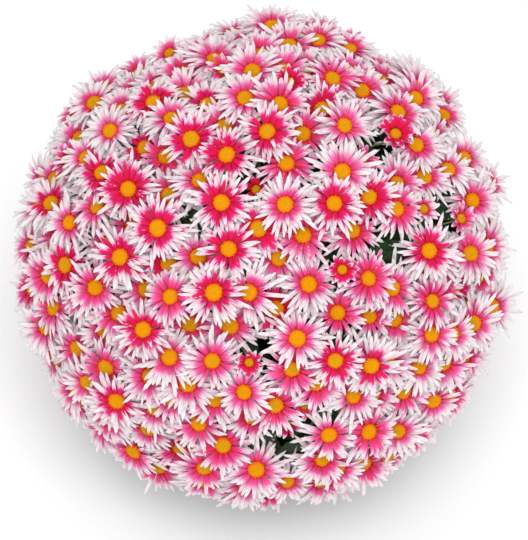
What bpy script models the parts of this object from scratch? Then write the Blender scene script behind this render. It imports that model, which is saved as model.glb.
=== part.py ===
"""A pot chrysanthemum: a ball of daisy blooms on leafy shoots, which stand in soil in a plain pot.

Metres, +Z up, with the origin on the ground under the middle of the pot.
"""

import math
import random
from dataclasses import dataclass

import bmesh
import bpy
import numpy as np
from mathutils.bvhtree import BVHTree

# The ball of blooms
BALL_CENTRE = np.array([0.0, 0.0, 0.205])
BLOOM_SPHERE = 0.2015
LOWEST_SINE = math.sin(math.radians(-36))
UPPER_SHARE = 0.70
GOLDEN_TURN = math.pi * (3 - math.sqrt(5))
SEED = 11

# Light: the blooms turn part of the way from the ball's own direction towards it
LIGHT = np.array([0.0, -math.cos(math.radians(58)), math.sin(math.radians(58))])
TURN_SHARE = 0.50
MOST_TURN = math.radians(42)

# Blooms
BLOOM_COUNT = 345
JITTER = 0.0075
NEAREST_BLOOMS = 0.0285
SPREADING_PASSES = 12
OPEN_RADIUS = (0.0240, 0.0275)
HALF_OPEN_RADIUS = (0.014, 0.018)
HALF_OPEN_SHARE = 0.12
MOST_TILT = math.radians(15)
LAYERS = 8
LAYER_DEPTH = 0.0028
BLOOM_CLEARANCE = 0.0006
SAMPLE_RINGS = ((0.0, 1), (0.45, 8), (0.8, 12), (1.0, 16))
SHRINKS = (1.0, 0.9, 0.8, 0.7)
STEADYINGS = (1.0, 0.6, 0.25)
CUP_DEPTH = 0.0042
DISC_HEIGHT = 0.0030
CUP_RADIUS = 0.0019
NOTCH_SHARE = 0.62
NOTCH_DROP = 0.0009
OPEN_PETALS = 5
HALF_OPEN_PETALS = 4
HALF_OPEN_LIFT = 0.0045

# Shoots: a main stem arches from the soil, then runs straight out and forks into the stalks
SHOOT_COUNT = 24
SHOOT_LOWEST_SINE = math.sin(math.radians(-27))
STEM_FOOT_RADIUS = 0.0025
STEM_TIP_RADIUS = 0.0019
STEM_STRAIGHT = (0.118, 0.170)
ARCH_POINTS = 5
ARCH_HANDLE = 0.040
STALK_SIDES = 3
STALK_RADIUS = 0.0011
STALK_FORKS = (0.122, 0.166)

# Leaves: share of the length and share of the half width, along one edge
LEAF_EDGE = ((0.36, 0.98), (0.50, 0.42), (0.70, 0.80), (0.80, 0.32))
LEAF_LENGTH = (0.036, 0.050)
LEAF_WIDTH_SHARE = 0.32
LEAF_THICKNESS = 0.0014
LEAF_SAG_SHARE = 0.12
LEAVES_PER_SHOOT = 3
LEAF_TRIES = 120
LEAF_ON_STALK = (0.45, 0.80)
LEAF_RISE = (math.radians(0), math.radians(35))
SKIRT_SINE = -0.15
SKIRT_DROP = (math.radians(35), math.radians(75))
SKIRT_SWING = math.radians(35)

# Pot
POT_HEIGHT = 0.140
RIM_RADIUS = 0.098
RIM_HEIGHT = 0.022
RIM_STEP = 0.0035
FOOT_RADIUS = 0.072
FOOT_WIDTH = 0.007
FOOT_RECESS = 0.004
WALL = 0.0022
DRAIN_COUNT = 5
DRAIN_RADIUS = 0.006
DRAIN_CIRCLE = 0.042
DRAIN_SIDES = 6
TURNING_STEPS = 24

# Soil
SOIL_BELOW_RIM = 0.012
SOIL_CROWN = 0.003
CLEARANCE = 0.0003
HOLE_DEPTH = 0.030
HOLE_RADIUS = 0.0037
HOLE_SIDES = 5
HOLE_SPREAD = 0.064


@dataclass
class Bloom:
    """One flower head: its middle, its own axes as columns (the last is the way it faces) and its size."""

    centre: np.ndarray
    axes: np.ndarray
    radius: float
    half_open: bool


@dataclass
class Shoot:
    """A leafy shoot: the way it grows, its blooms and their roots on its stem, and the meshes to fuse."""

    direction: np.ndarray
    blooms: list
    roots: list
    stem: bpy.types.Mesh
    stalks: list
    leaves: list


def clear_scene():
    for obj in list(bpy.data.objects):
        bpy.data.objects.remove(obj, do_unlink=True)


def new_collection(name, parent=None):
    made = bpy.data.collections.new(name)
    (parent or bpy.context.scene.collection).children.link(made)
    return made


def new_material(name, colour, roughness):
    made = bpy.data.materials.new(name)
    made.use_nodes = True
    shader = made.node_tree.nodes["Principled BSDF"]
    shader.inputs["Base Color"].default_value = (*colour, 1.0)
    shader.inputs["Roughness"].default_value = roughness
    shader.inputs["Metallic"].default_value = 0.0
    return made


def new_object(name, mesh, collection, material):
    obj = bpy.data.objects.new(name, mesh)
    mesh.materials.clear()
    mesh.materials.append(material)
    collection.objects.link(obj)
    return obj


def stitch(bm, lower, upper):
    """Triangles between two rings of any number of points, both in the same turning sense."""
    i = j = 0
    while i < len(lower) or j < len(upper):
        next_lower = (i + 1) / len(lower)
        next_upper = (j + 1) / len(upper)
        a = lower[i % len(lower)]
        b = upper[j % len(upper)]
        if i < len(lower) and (next_lower <= next_upper or j == len(upper)):
            i += 1
            corners = (a, lower[i % len(lower)], b)
        else:
            j += 1
            corners = (a, upper[j % len(upper)], b)
        if len(set(corners)) == 3:
            bm.faces.new(corners)


def loft(name, rings):
    """A closed skin over rings of points, from the lowest to the highest. An end ring may be one point."""
    bm = bmesh.new()
    rows = [[bm.verts.new(point) for point in ring] for ring in rings]
    for lower, upper in zip(rows[:-1], rows[1:]):
        stitch(bm, lower, upper)
    if len(rows[0]) > 2:
        bm.faces.new(rows[0][::-1])
    if len(rows[-1]) > 2:
        bm.faces.new(rows[-1])
    bmesh.ops.recalc_face_normals(bm, faces=bm.faces)
    mesh = bpy.data.meshes.new(name)
    bm.to_mesh(mesh)
    bm.free()
    return mesh


def spiral_directions(count, lowest_sine):
    """Directions over the ball, even above its waist and thinner below, down to a latitude given by its sine."""
    steps = (np.arange(count) + 0.5) / count
    sine = np.interp(steps, (0.0, UPPER_SHARE, 1.0), (1.0, 0.0, lowest_sine))
    reach = np.sqrt(1.0 - sine**2)
    turn = np.arange(count) * GOLDEN_TURN
    return np.stack([reach * np.cos(turn), reach * np.sin(turn), sine], axis=1)


def side_axes(direction):
    """Two unit vectors across a direction."""
    helper = np.array([0.0, 0.0, 1.0]) if abs(direction[2]) < 0.9 else np.array([1.0, 0.0, 0.0])
    across = np.cross(helper, direction)
    across /= np.linalg.norm(across)
    return across, np.cross(direction, across)


def scattered_directions(draw):
    """The even spiral with each bloom moved a little, and close pairs moved apart again."""
    directions = spiral_directions(BLOOM_COUNT, LOWEST_SINE)
    for i, direction in enumerate(directions):
        across, along = side_axes(direction)
        shift = across * draw.uniform(-1, 1) + along * draw.uniform(-1, 1)
        directions[i] = direction + shift * JITTER / BLOOM_SPHERE
    nearest = NEAREST_BLOOMS / BLOOM_SPHERE
    for _ in range(SPREADING_PASSES):
        directions /= np.linalg.norm(directions, axis=1, keepdims=True)
        apart = directions[:, None] - directions[None]
        distance = np.linalg.norm(apart, axis=2) + np.eye(BLOOM_COUNT)
        push = np.clip(nearest - distance, 0.0, None)
        directions += (apart / distance[..., None] * push[..., None]).sum(axis=1) * 0.5
    return directions / np.linalg.norm(directions, axis=1, keepdims=True)


def turned_to_light(direction):
    """The way a bloom faces before its own lean: outwards, turned part of the way to the light."""
    turn = min(math.acos(direction @ LIGHT) * TURN_SHARE, MOST_TURN)
    across = LIGHT - direction * (direction @ LIGHT)
    return direction * math.cos(turn) + across / np.linalg.norm(across) * math.sin(turn)


def facing(direction, twist, tilt, tilt_turn):
    """Axes of a bloom that faces along a direction, turned about it and leaning from it."""
    across, along = side_axes(direction)
    lean = across * math.cos(tilt_turn) + along * math.sin(tilt_turn)
    normal = direction * math.cos(tilt) + lean * math.sin(tilt)
    across, along = side_axes(normal)
    first = across * math.cos(twist) + along * math.sin(twist)
    return np.stack([first, np.cross(normal, first), normal], axis=1)


def bloom_samples():
    """Points over a bloom of radius 1 as (x, y, share of the radius)."""
    points = []
    for share, count in SAMPLE_RINGS:
        for i in range(count):
            turn = 2 * math.pi * i / count
            points.append((share * math.cos(turn), share * math.sin(turn), share))
    return np.array(points)


def one_side(upper, lower, samples):
    """Whether all of one bloom, where it reaches over or under another, lies on one side of it."""
    points = upper.centre + samples[:, :2] @ upper.axes[:, :2].T * upper.radius
    local = (points - lower.centre) @ lower.axes
    share = np.hypot(local[:, 0], local[:, 1]) / (lower.radius + BLOOM_CLEARANCE)
    over = share < 1.0
    thin = 1.0 - samples[over, 2]
    thin_other = 1.0 - share[over]
    height = local[over, 2]
    lift = HALF_OPEN_LIFT * (upper.half_open or lower.half_open)
    above = height - CUP_DEPTH * thin > DISC_HEIGHT * thin_other + BLOOM_CLEARANCE + lift
    below = height + DISC_HEIGHT * thin < -CUP_DEPTH * thin_other - BLOOM_CLEARANCE - lift
    return bool(above.all() or below.all())


def is_clear(bloom, others, samples):
    """Whether a bloom crosses none of the others."""
    for other in others:
        reach = bloom.radius + other.radius + BLOOM_CLEARANCE
        if np.linalg.norm(bloom.centre - other.centre) > reach:
            continue
        if not (one_side(bloom, other, samples) and one_side(other, bloom, samples)):
            return False
    return True


def seat_bloom(direction, draw, seated, samples):
    """The outermost place, with the fullest tilt and size, where a bloom clears those already seated."""
    half_open = draw.random() < HALF_OPEN_SHARE
    radius = draw.uniform(*(HALF_OPEN_RADIUS if half_open else OPEN_RADIUS))
    twist = draw.uniform(0, 2 * math.pi)
    tilt = MOST_TILT * math.sqrt(draw.random())
    tilt_turn = draw.uniform(0, 2 * math.pi)
    outwards = turned_to_light(direction)
    for shrink in SHRINKS:
        for steadying in STEADYINGS:
            axes = facing(outwards, twist, tilt * steadying, tilt_turn)
            for layer in range(LAYERS):
                reach = BLOOM_SPHERE - layer * LAYER_DEPTH
                centre = BALL_CENTRE + direction * reach
                bloom = Bloom(centre, axes, radius * shrink, half_open)
                if is_clear(bloom, seated, samples):
                    return bloom
    return None


def seat_blooms():
    """All the blooms, each clear of the others where their petals overlap."""
    draw = random.Random(SEED)
    samples = bloom_samples()
    seated = []
    for direction in scattered_directions(draw):
        bloom = seat_bloom(direction, draw, seated, samples)
        if bloom is not None:
            seated.append(bloom)
    return seated


def ring(centre, first, second, radius, count):
    """Evenly spaced points round a centre."""
    angles = 2 * math.pi * np.arange(count) / count
    return [centre + first * radius * math.cos(a) + second * radius * math.sin(a) for a in angles]


def star_outline(bloom):
    """The pointed petals' outline, tips and notches by turns."""
    petals = HALF_OPEN_PETALS if bloom.half_open else OPEN_PETALS
    lift = HALF_OPEN_LIFT if bloom.half_open else 0.0
    points = []
    for i in range(2 * petals):
        angle = math.pi * i / petals
        reach = bloom.radius * (NOTCH_SHARE if i % 2 else 1.0)
        height = -NOTCH_DROP if i % 2 else lift
        local = np.array([reach * math.cos(angle), reach * math.sin(angle), height])
        points.append(bloom.centre + bloom.axes @ local)
    return points


def bloom_mesh(bloom, root):
    """A bloom on its stalk: the stalk from its root, the green cup, the petals and the raised disc."""
    first, second, normal = bloom.axes.T
    cup = bloom.centre - normal * CUP_DEPTH
    root_ring = ring(root, first, second, STALK_RADIUS, STALK_SIDES)
    cup_ring = ring(cup, first, second, CUP_RADIUS, STALK_SIDES)
    top = [bloom.centre + normal * DISC_HEIGHT]
    return loft("bloom", [root_ring, cup_ring, star_outline(bloom), top])


def bezier(start, first_handle, last_handle, end, count):
    """Points along a cubic curve."""
    shares = np.linspace(0.0, 1.0, count)[:, None]
    rest = 1.0 - shares
    return (
        rest**3 * start
        + 3 * rest**2 * shares * first_handle
        + 3 * rest * shares**2 * last_handle
        + shares**3 * end
    )


def soil_top_at(reach):
    """Height of the soil's slightly crowned surface at a distance from the pot's axis."""
    return POT_HEIGHT - SOIL_BELOW_RIM + SOIL_CROWN * (1.0 - reach / inner_radius(POT_HEIGHT))


def hole_place(index):
    """Where a shoot comes out of the soil, as a distance and a turn about the pot's axis."""
    return HOLE_SPREAD * math.sqrt((index + 0.5) / SHOOT_COUNT), index * GOLDEN_TURN


def stem_path(index, direction):
    """A shoot's main stem: up out of the soil, then out along its own direction."""
    reach, turn = hole_place(index)
    foot = np.array([reach * math.cos(turn), reach * math.sin(turn), 0.0])
    foot[2] = soil_top_at(reach) - HOLE_DEPTH + CLEARANCE
    above = foot + np.array([0.0, 0.0, HOLE_DEPTH - CLEARANCE])
    low, high = (BALL_CENTRE + direction * reach for reach in STEM_STRAIGHT)
    upward = np.array([0.0, 0.0, ARCH_HANDLE])
    arch = bezier(above, above + upward, low - direction * ARCH_HANDLE, low, ARCH_POINTS)
    return np.vstack([foot, arch, high])


def tube_mesh(points, root_radius, tip_radius):
    """A round stem along a path, thinner towards its tip, with its caps welded on."""
    curve = bpy.data.curves.new("stem", "CURVE")
    curve.dimensions = "3D"
    curve.bevel_depth = 1.0
    curve.bevel_resolution = 0
    curve.use_fill_caps = True
    spline = curve.splines.new("POLY")
    spline.points.add(len(points) - 1)
    for i, point in enumerate(points):
        share = i / (len(points) - 1)
        spline.points[i].co = (*point, 1.0)
        spline.points[i].radius = root_radius + (tip_radius - root_radius) * share
    holder = bpy.data.objects.new("stem", curve)
    bpy.context.scene.collection.objects.link(holder)
    evaluated = holder.evaluated_get(bpy.context.evaluated_depsgraph_get())
    mesh = bpy.data.meshes.new_from_object(evaluated)
    bpy.data.objects.remove(holder)
    bm = bmesh.new()
    bm.from_mesh(mesh)
    bmesh.ops.remove_doubles(bm, verts=bm.verts, dist=0.00001)
    bmesh.ops.recalc_face_normals(bm, faces=bm.faces)
    bm.to_mesh(mesh)
    bm.free()
    return mesh


def leaf_mesh(base, along, across, length):
    """A lobed leaf, thickest along its middle, which arches down from its base."""
    normal = np.cross(along, across)
    width = length * LEAF_WIDTH_SHARE
    sag = length * LEAF_SAG_SHARE

    def place(share, side):
        return base + along * length * share + across * side - normal * sag * (share**2 + abs(side) / width / 3)

    right = [place(share, side * width) for share, side in LEAF_EDGE]
    left = [place(share, -side * width) for share, side in reversed(LEAF_EDGE)]
    outline = [place(0.0, 0.0), *right, place(1.0, 0.0), *left]
    middle = place(0.55, 0.0)
    under = middle - normal * LEAF_THICKNESS / 2
    over = middle + normal * LEAF_THICKNESS
    return loft("leaf", [[under], outline, [over]])


def tree_of(meshes):
    """All the meshes' faces in one tree, which finds what touches them."""
    points = []
    faces = []
    for mesh in meshes:
        first = len(points)
        points += [tuple(vertex.co) for vertex in mesh.vertices]
        faces += [[first + i for i in face.vertices] for face in mesh.polygons]
    return BVHTree.FromPolygons(points, faces)


def drawn_leaf(base, draw):
    """A leaf that lies out from its base along the ball, rising a little."""
    outward = base - BALL_CENTRE
    outward /= np.linalg.norm(outward)
    across, other = side_axes(outward)
    turn = draw.uniform(0, 2 * math.pi)
    rise = draw.uniform(*LEAF_RISE)
    out = across * math.cos(turn) + other * math.sin(turn)
    along = outward * math.sin(rise) + out * math.cos(rise)
    return leaf_mesh(base, along, np.cross(outward, out), draw.uniform(*LEAF_LENGTH))


def drawn_skirt_leaf(base, draw):
    """A leaf that hangs beside the pot."""
    swing = math.atan2(base[1], base[0]) + draw.uniform(-SKIRT_SWING, SKIRT_SWING)
    drop = draw.uniform(*SKIRT_DROP)
    out = np.array([math.cos(swing), math.sin(swing), 0.0])
    along = out * math.cos(drop) - np.array([0.0, 0.0, math.sin(drop)])
    across = np.array([-out[1], out[0], 0.0])
    return leaf_mesh(base, along, across, draw.uniform(*LEAF_LENGTH))


def clear_leaf(make_leaf, base, draw, trees):
    """The first drawn leaf that touches no stalk, bloom or other leaf."""
    for _ in range(LEAF_TRIES):
        leaf = make_leaf(base, draw)
        own = tree_of([leaf])
        if not any(own.overlap(tree) for tree in trees):
            return leaf
        bpy.data.meshes.remove(leaf)
    return None


def make_leaves(shoots):
    """Each shoot's leaves, on some of its stalks, clear of all but the stalk that carries them."""
    draw = random.Random(SEED)
    trees = {id(mesh): tree_of([mesh]) for shoot in shoots for mesh in [shoot.stem, *shoot.stalks]}
    for shoot in shoots:
        for _ in range(LEAVES_PER_SHOOT):
            i = draw.randrange(len(shoot.stalks))
            end = shoot.blooms[i].centre - shoot.blooms[i].axes[:, 2] * CUP_DEPTH
            base = shoot.roots[i] + (end - shoot.roots[i]) * draw.uniform(*LEAF_ON_STALK)
            add_leaf(shoot, shoot.stalks[i], drawn_leaf, base, draw, trees)
        if shoot.direction[2] < SKIRT_SINE:
            base = BALL_CENTRE + shoot.direction * STEM_STRAIGHT[0]
            add_leaf(shoot, shoot.stem, drawn_skirt_leaf, base, draw, trees)


def add_leaf(shoot, carrier, make_leaf, base, draw, trees):
    """Gives a shoot one more leaf, if a clear place for it is found."""
    others = [tree for key, tree in trees.items() if key != id(carrier)]
    leaf = clear_leaf(make_leaf, base, draw, others)
    if leaf:
        shoot.leaves.append(leaf)
        trees[id(leaf)] = tree_of([leaf])


def fork_roots(blooms, direction):
    """Where each stalk leaves the main stem, one above the other: the wider a bloom stands, the lower."""
    towards = [bloom.centre - BALL_CENTRE for bloom in blooms]
    cosines = [float(line @ direction) / np.linalg.norm(line) for line in towards]
    stations = np.linspace(*STALK_FORKS, len(blooms))
    roots = [None] * len(blooms)
    for station, i in zip(stations, np.argsort(cosines)):
        roots[i] = BALL_CENTRE + direction * station
    return roots


def fuse(stem, pieces, collection):
    """Joins a shoot's stem, stalks, blooms and leaves into one body."""
    join = stem.modifiers.new("join", "BOOLEAN")
    join.operation = "UNION"
    join.operand_type = "COLLECTION"
    join.collection = collection
    join.solver = "MANIFOLD"
    graph = bpy.context.evaluated_depsgraph_get()
    joined = bpy.data.meshes.new_from_object(stem.evaluated_get(graph))
    stem.modifiers.clear()
    stem.data = joined
    for piece in pieces:
        bpy.data.objects.remove(piece, do_unlink=True)
    bpy.data.collections.remove(collection)


def fuse_shoot(name, shoot, plant, material):
    """One leafy shoot with its blooms, as one closed body."""
    stem = new_object(name, shoot.stem, plant, material)
    repeats = new_collection(f"{name}_repeats")
    meshes = shoot.stalks + shoot.leaves
    pieces = [new_object(f"{name}_piece", mesh, repeats, material) for mesh in meshes]
    fuse(stem, pieces, repeats)


def make_shoots(plant, material):
    """Each bloom grows on the shoot whose direction is nearest to it."""
    directions = spiral_directions(SHOOT_COUNT, SHOOT_LOWEST_SINE)
    blooms = seat_blooms()
    owners = [int(np.argmax(directions @ (b.centre - BALL_CENTRE))) for b in blooms]
    shoots = []
    for index, direction in enumerate(directions):
        own = [bloom for bloom, owner in zip(blooms, owners) if owner == index]
        roots = fork_roots(own, direction)
        stem = tube_mesh(stem_path(index, direction), STEM_FOOT_RADIUS, STEM_TIP_RADIUS)
        stalks = [bloom_mesh(bloom, root) for bloom, root in zip(own, roots)]
        shoots.append(Shoot(direction, own, roots, stem, stalks, []))
    make_leaves(shoots)
    for index, shoot in enumerate(shoots):
        fuse_shoot(f"shoot_{index + 1:02d}", shoot, plant, material)
    print(len(blooms), "blooms and", sum(len(shoot.leaves) for shoot in shoots), "leaves")


def outer_radius(height):
    """The pot's tapered wall outside, below its rim."""
    share = height / (POT_HEIGHT - RIM_HEIGHT)
    return FOOT_RADIUS + (RIM_RADIUS - RIM_STEP - FOOT_RADIUS) * share


def inner_radius(height):
    return outer_radius(min(height, POT_HEIGHT - RIM_HEIGHT)) - WALL


def turned(name, profile, collection, material):
    """A turned solid from a profile of (radius, height), top to bottom down its outer side."""
    bm = bmesh.new()
    verts = [bm.verts.new((radius, 0.0, height)) for radius, height in profile]
    for a, b in zip(verts[:-1], verts[1:]):
        bm.edges.new((a, b))
    mesh = bpy.data.meshes.new(name)
    bm.to_mesh(mesh)
    bm.free()
    obj = new_object(name, mesh, collection, material)
    screw = obj.modifiers.new("turn", "SCREW")
    screw.steps = TURNING_STEPS
    screw.render_steps = TURNING_STEPS
    screw.use_merge_vertices = True
    screw.merge_threshold = 0.00001
    return obj


def drill(obj, cutters):
    """Cuts a collection of cutters out of a solid."""
    cut = obj.modifiers.new("drill", "BOOLEAN")
    cut.operation = "DIFFERENCE"
    cut.operand_type = "COLLECTION"
    cut.collection = cutters


def drill_bit(name, place, radius, low, high, sides, cutters):
    """An upright cutter at a place given by its x and y."""
    bm = bmesh.new()
    bmesh.ops.create_cone(
        bm, cap_ends=True, segments=sides, radius1=radius, radius2=radius, depth=high - low
    )
    bmesh.ops.translate(bm, verts=bm.verts, vec=(place[0], place[1], (low + high) / 2))
    mesh = bpy.data.meshes.new(name)
    bm.to_mesh(mesh)
    bm.free()
    obj = bpy.data.objects.new(name, mesh)
    obj.hide_render = True
    obj.display_type = "WIRE"
    cutters.objects.link(obj)


def make_pot(plant, cutters, material):
    """A plain tapered nursery pot with a rim band, a foot ring and drain holes."""
    shoulder = POT_HEIGHT - RIM_HEIGHT
    floor = FOOT_RECESS + WALL
    foot_inner = FOOT_RADIUS - FOOT_WIDTH
    profile = [
        (0.0, floor),
        (inner_radius(floor), floor),
        (inner_radius(shoulder), shoulder),
        (inner_radius(shoulder) + RIM_STEP, shoulder + RIM_STEP),
        (RIM_RADIUS - WALL, POT_HEIGHT),
        (RIM_RADIUS, POT_HEIGHT),
        (RIM_RADIUS - WALL / 4, shoulder),
        (outer_radius(shoulder), shoulder - WALL / 2),
        (FOOT_RADIUS, 0.0),
        (foot_inner, 0.0),
        (foot_inner, FOOT_RECESS),
        (0.0, FOOT_RECESS),
    ]
    pot = turned("pot", profile, plant, material)
    for i in range(DRAIN_COUNT):
        turn = 2 * math.pi * (i + 0.5) / DRAIN_COUNT
        place = (DRAIN_CIRCLE * math.cos(turn), DRAIN_CIRCLE * math.sin(turn))
        drill_bit(f"drain_{i + 1}", place, DRAIN_RADIUS, 0.0, floor + WALL, DRAIN_SIDES, cutters)
    drill(pot, cutters)
    return pot


def make_soil(plant, cutters, material):
    """The potting soil, slightly crowned, with a hole for each shoot."""
    low = FOOT_RECESS + WALL + CLEARANCE
    edge = POT_HEIGHT - SOIL_BELOW_RIM
    shoulder = POT_HEIGHT - RIM_HEIGHT
    profile = [
        (0.0, soil_top_at(0.0)),
        (inner_radius(shoulder) - 2 * CLEARANCE, edge),
        (inner_radius(shoulder) - 2 * CLEARANCE, shoulder),
        (inner_radius(low) - 2 * CLEARANCE, low),
        (0.0, low),
    ]
    soil = turned("soil", profile, plant, material)
    for index in range(SHOOT_COUNT):
        reach, turn = hole_place(index)
        place = (reach * math.cos(turn), reach * math.sin(turn))
        low = soil_top_at(reach) - HOLE_DEPTH
        drill_bit(f"hole_{index + 1:02d}", place, HOLE_RADIUS, low, POT_HEIGHT, HOLE_SIDES, cutters)
    drill(soil, cutters)
    return soil


def main():
    clear_scene()
    plant = new_collection("pot_chrysanthemum")
    cutters = new_collection("cutters")
    drains = new_collection("drain_cutters", cutters)
    holes = new_collection("hole_cutters", cutters)
    make_shoots(plant, new_material("blooms_and_leaves", (0.86, 0.22, 0.42), 0.6))
    make_pot(plant, drains, new_material("pot_plastic", (0.035, 0.035, 0.038), 0.5))
    make_soil(plant, holes, new_material("potting_soil", (0.045, 0.028, 0.018), 0.95))


main()
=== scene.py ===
"""Looks of a pot chrysanthemum: blooms, leaves, stems, soil and pot, in a plain studio.

The plant's places come from the same rule as its solids: blooms spread on a ball, each seated
clear of its neighbours, and each carried by the leafy shoot that points nearest to it. Lengths are
in metres, angles in radians, and +Z is up.
"""

from __future__ import annotations

import logging
import math
import random
from dataclasses import dataclass, field, replace
from enum import Enum

import bmesh
import bpy
import numpy as np
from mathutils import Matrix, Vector, noise


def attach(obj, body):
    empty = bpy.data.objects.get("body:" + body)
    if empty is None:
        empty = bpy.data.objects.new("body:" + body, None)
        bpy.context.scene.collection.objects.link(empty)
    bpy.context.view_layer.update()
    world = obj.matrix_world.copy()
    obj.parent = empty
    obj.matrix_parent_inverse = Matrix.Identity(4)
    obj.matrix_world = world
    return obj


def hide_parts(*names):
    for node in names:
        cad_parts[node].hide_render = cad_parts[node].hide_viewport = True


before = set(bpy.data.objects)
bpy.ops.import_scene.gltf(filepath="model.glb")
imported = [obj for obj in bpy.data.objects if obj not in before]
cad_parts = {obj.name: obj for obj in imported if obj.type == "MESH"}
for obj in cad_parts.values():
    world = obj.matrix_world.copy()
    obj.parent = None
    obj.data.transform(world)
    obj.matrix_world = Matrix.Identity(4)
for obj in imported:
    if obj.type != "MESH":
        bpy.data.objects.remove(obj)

LOG = logging.getLogger("pot_chrysanthemum")
GOLDEN_TURN = math.pi * (3.0 - math.sqrt(5.0))
BODY = "root"
BALL_CENTRE = (0.0, 0.0, 0.205)
LIGHT_HEIGHT = math.radians(58)
UNDERSIDE_EDGE = (0.45, 0.7)
UP = np.array([0.0, 0.0, 1.0])
Array = np.ndarray
Colour = tuple[float, float, float]
Faces = list[list[int]]
Socket = bpy.types.NodeSocket
Value = Socket | float | Colour
Stops = tuple[tuple[float, Colour], ...]
Triple = tuple[float, float, float]


def linear(red: int, green: int, blue: int) -> Colour:
    """Turn a colour's screen values, from 0 to 255, into the linear shares that shaders take."""
    shares = (value / 255.0 for value in (red, green, blue))
    return tuple(s / 12.92 if s <= 0.04045 else ((s + 0.055) / 1.055) ** 2.4 for s in shares)


def side_axes(direction: Array) -> tuple[Array, Array]:
    """Find two unit vectors across a direction.

    Args:
        direction: A unit vector.

    Returns:
        The two vectors, at right angles to it and to each other.
    """
    helper = UP if abs(direction[2]) < 0.9 else np.array([1.0, 0.0, 0.0])
    across = np.cross(helper, direction)
    across /= np.linalg.norm(across)
    return across, np.cross(direction, across)


def turned_about(points: Array, angle: float) -> Array:
    """Turn points about Z."""
    cosine, sine = math.cos(angle), math.sin(angle)
    return points @ np.array([[cosine, sine, 0.0], [-sine, cosine, 0.0], [0.0, 0.0, 1.0]])


def even_turns(count: int) -> Array:
    """Divide a full turn evenly."""
    return 2 * math.pi * np.arange(count) / count


def circle(turns: Array, radius: float, height: float | Array) -> Array:
    """Place a point about Z for each turn, at a radius and a height."""
    levels = np.broadcast_to(height, turns.shape)
    return np.stack([radius * np.cos(turns), radius * np.sin(turns), levels], axis=1)


def along_path(path: Array, share: float) -> Array:
    """Find the point at a share of the way along a path, counted in its steps."""
    spot = share * (len(path) - 1)
    whole = int(spot)
    return path[whole] + (path[whole + 1] - path[whole]) * (spot - whole)


def linked(name: str, data: bpy.types.ID) -> bpy.types.Object:
    """Make an object from its data, and link it to the scene."""
    made = bpy.data.objects.new(name, data)
    bpy.context.scene.collection.objects.link(made)
    return made


class BloomKind(Enum):
    """The three looks that a bloom of this plant has."""

    DEEP = "magenta past the middle of its petals, with white tips"
    SOFT = "pink that fades to white"
    HALF_OPEN = "small, with short dark petals round a greenish disc"


@dataclass
class Bloom:
    """One flower head, as the plant's rule seats it.

    Attributes:
        centre: Middle of the petals.
        axes: The bloom's own axes as columns; the last is the way it faces.
        radius: From the middle to the petal tips.
        kind: Which of the three looks it has.
        tone: How deep its pink is, from 0 to 1.
        seed: Number that its small differences are drawn from.
    """

    centre: Array
    axes: Array
    radius: float
    kind: BloomKind
    tone: float = 0.0
    seed: int = 0

    @property
    def half_open(self) -> bool:
        """Whether the bloom is only half open."""
        return self.kind is BloomKind.HALF_OPEN

    def to_plant(self, points: Array) -> Array:
        """Move points from the bloom's own frame into the plant's."""
        return points @ self.axes.T + self.centre


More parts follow.
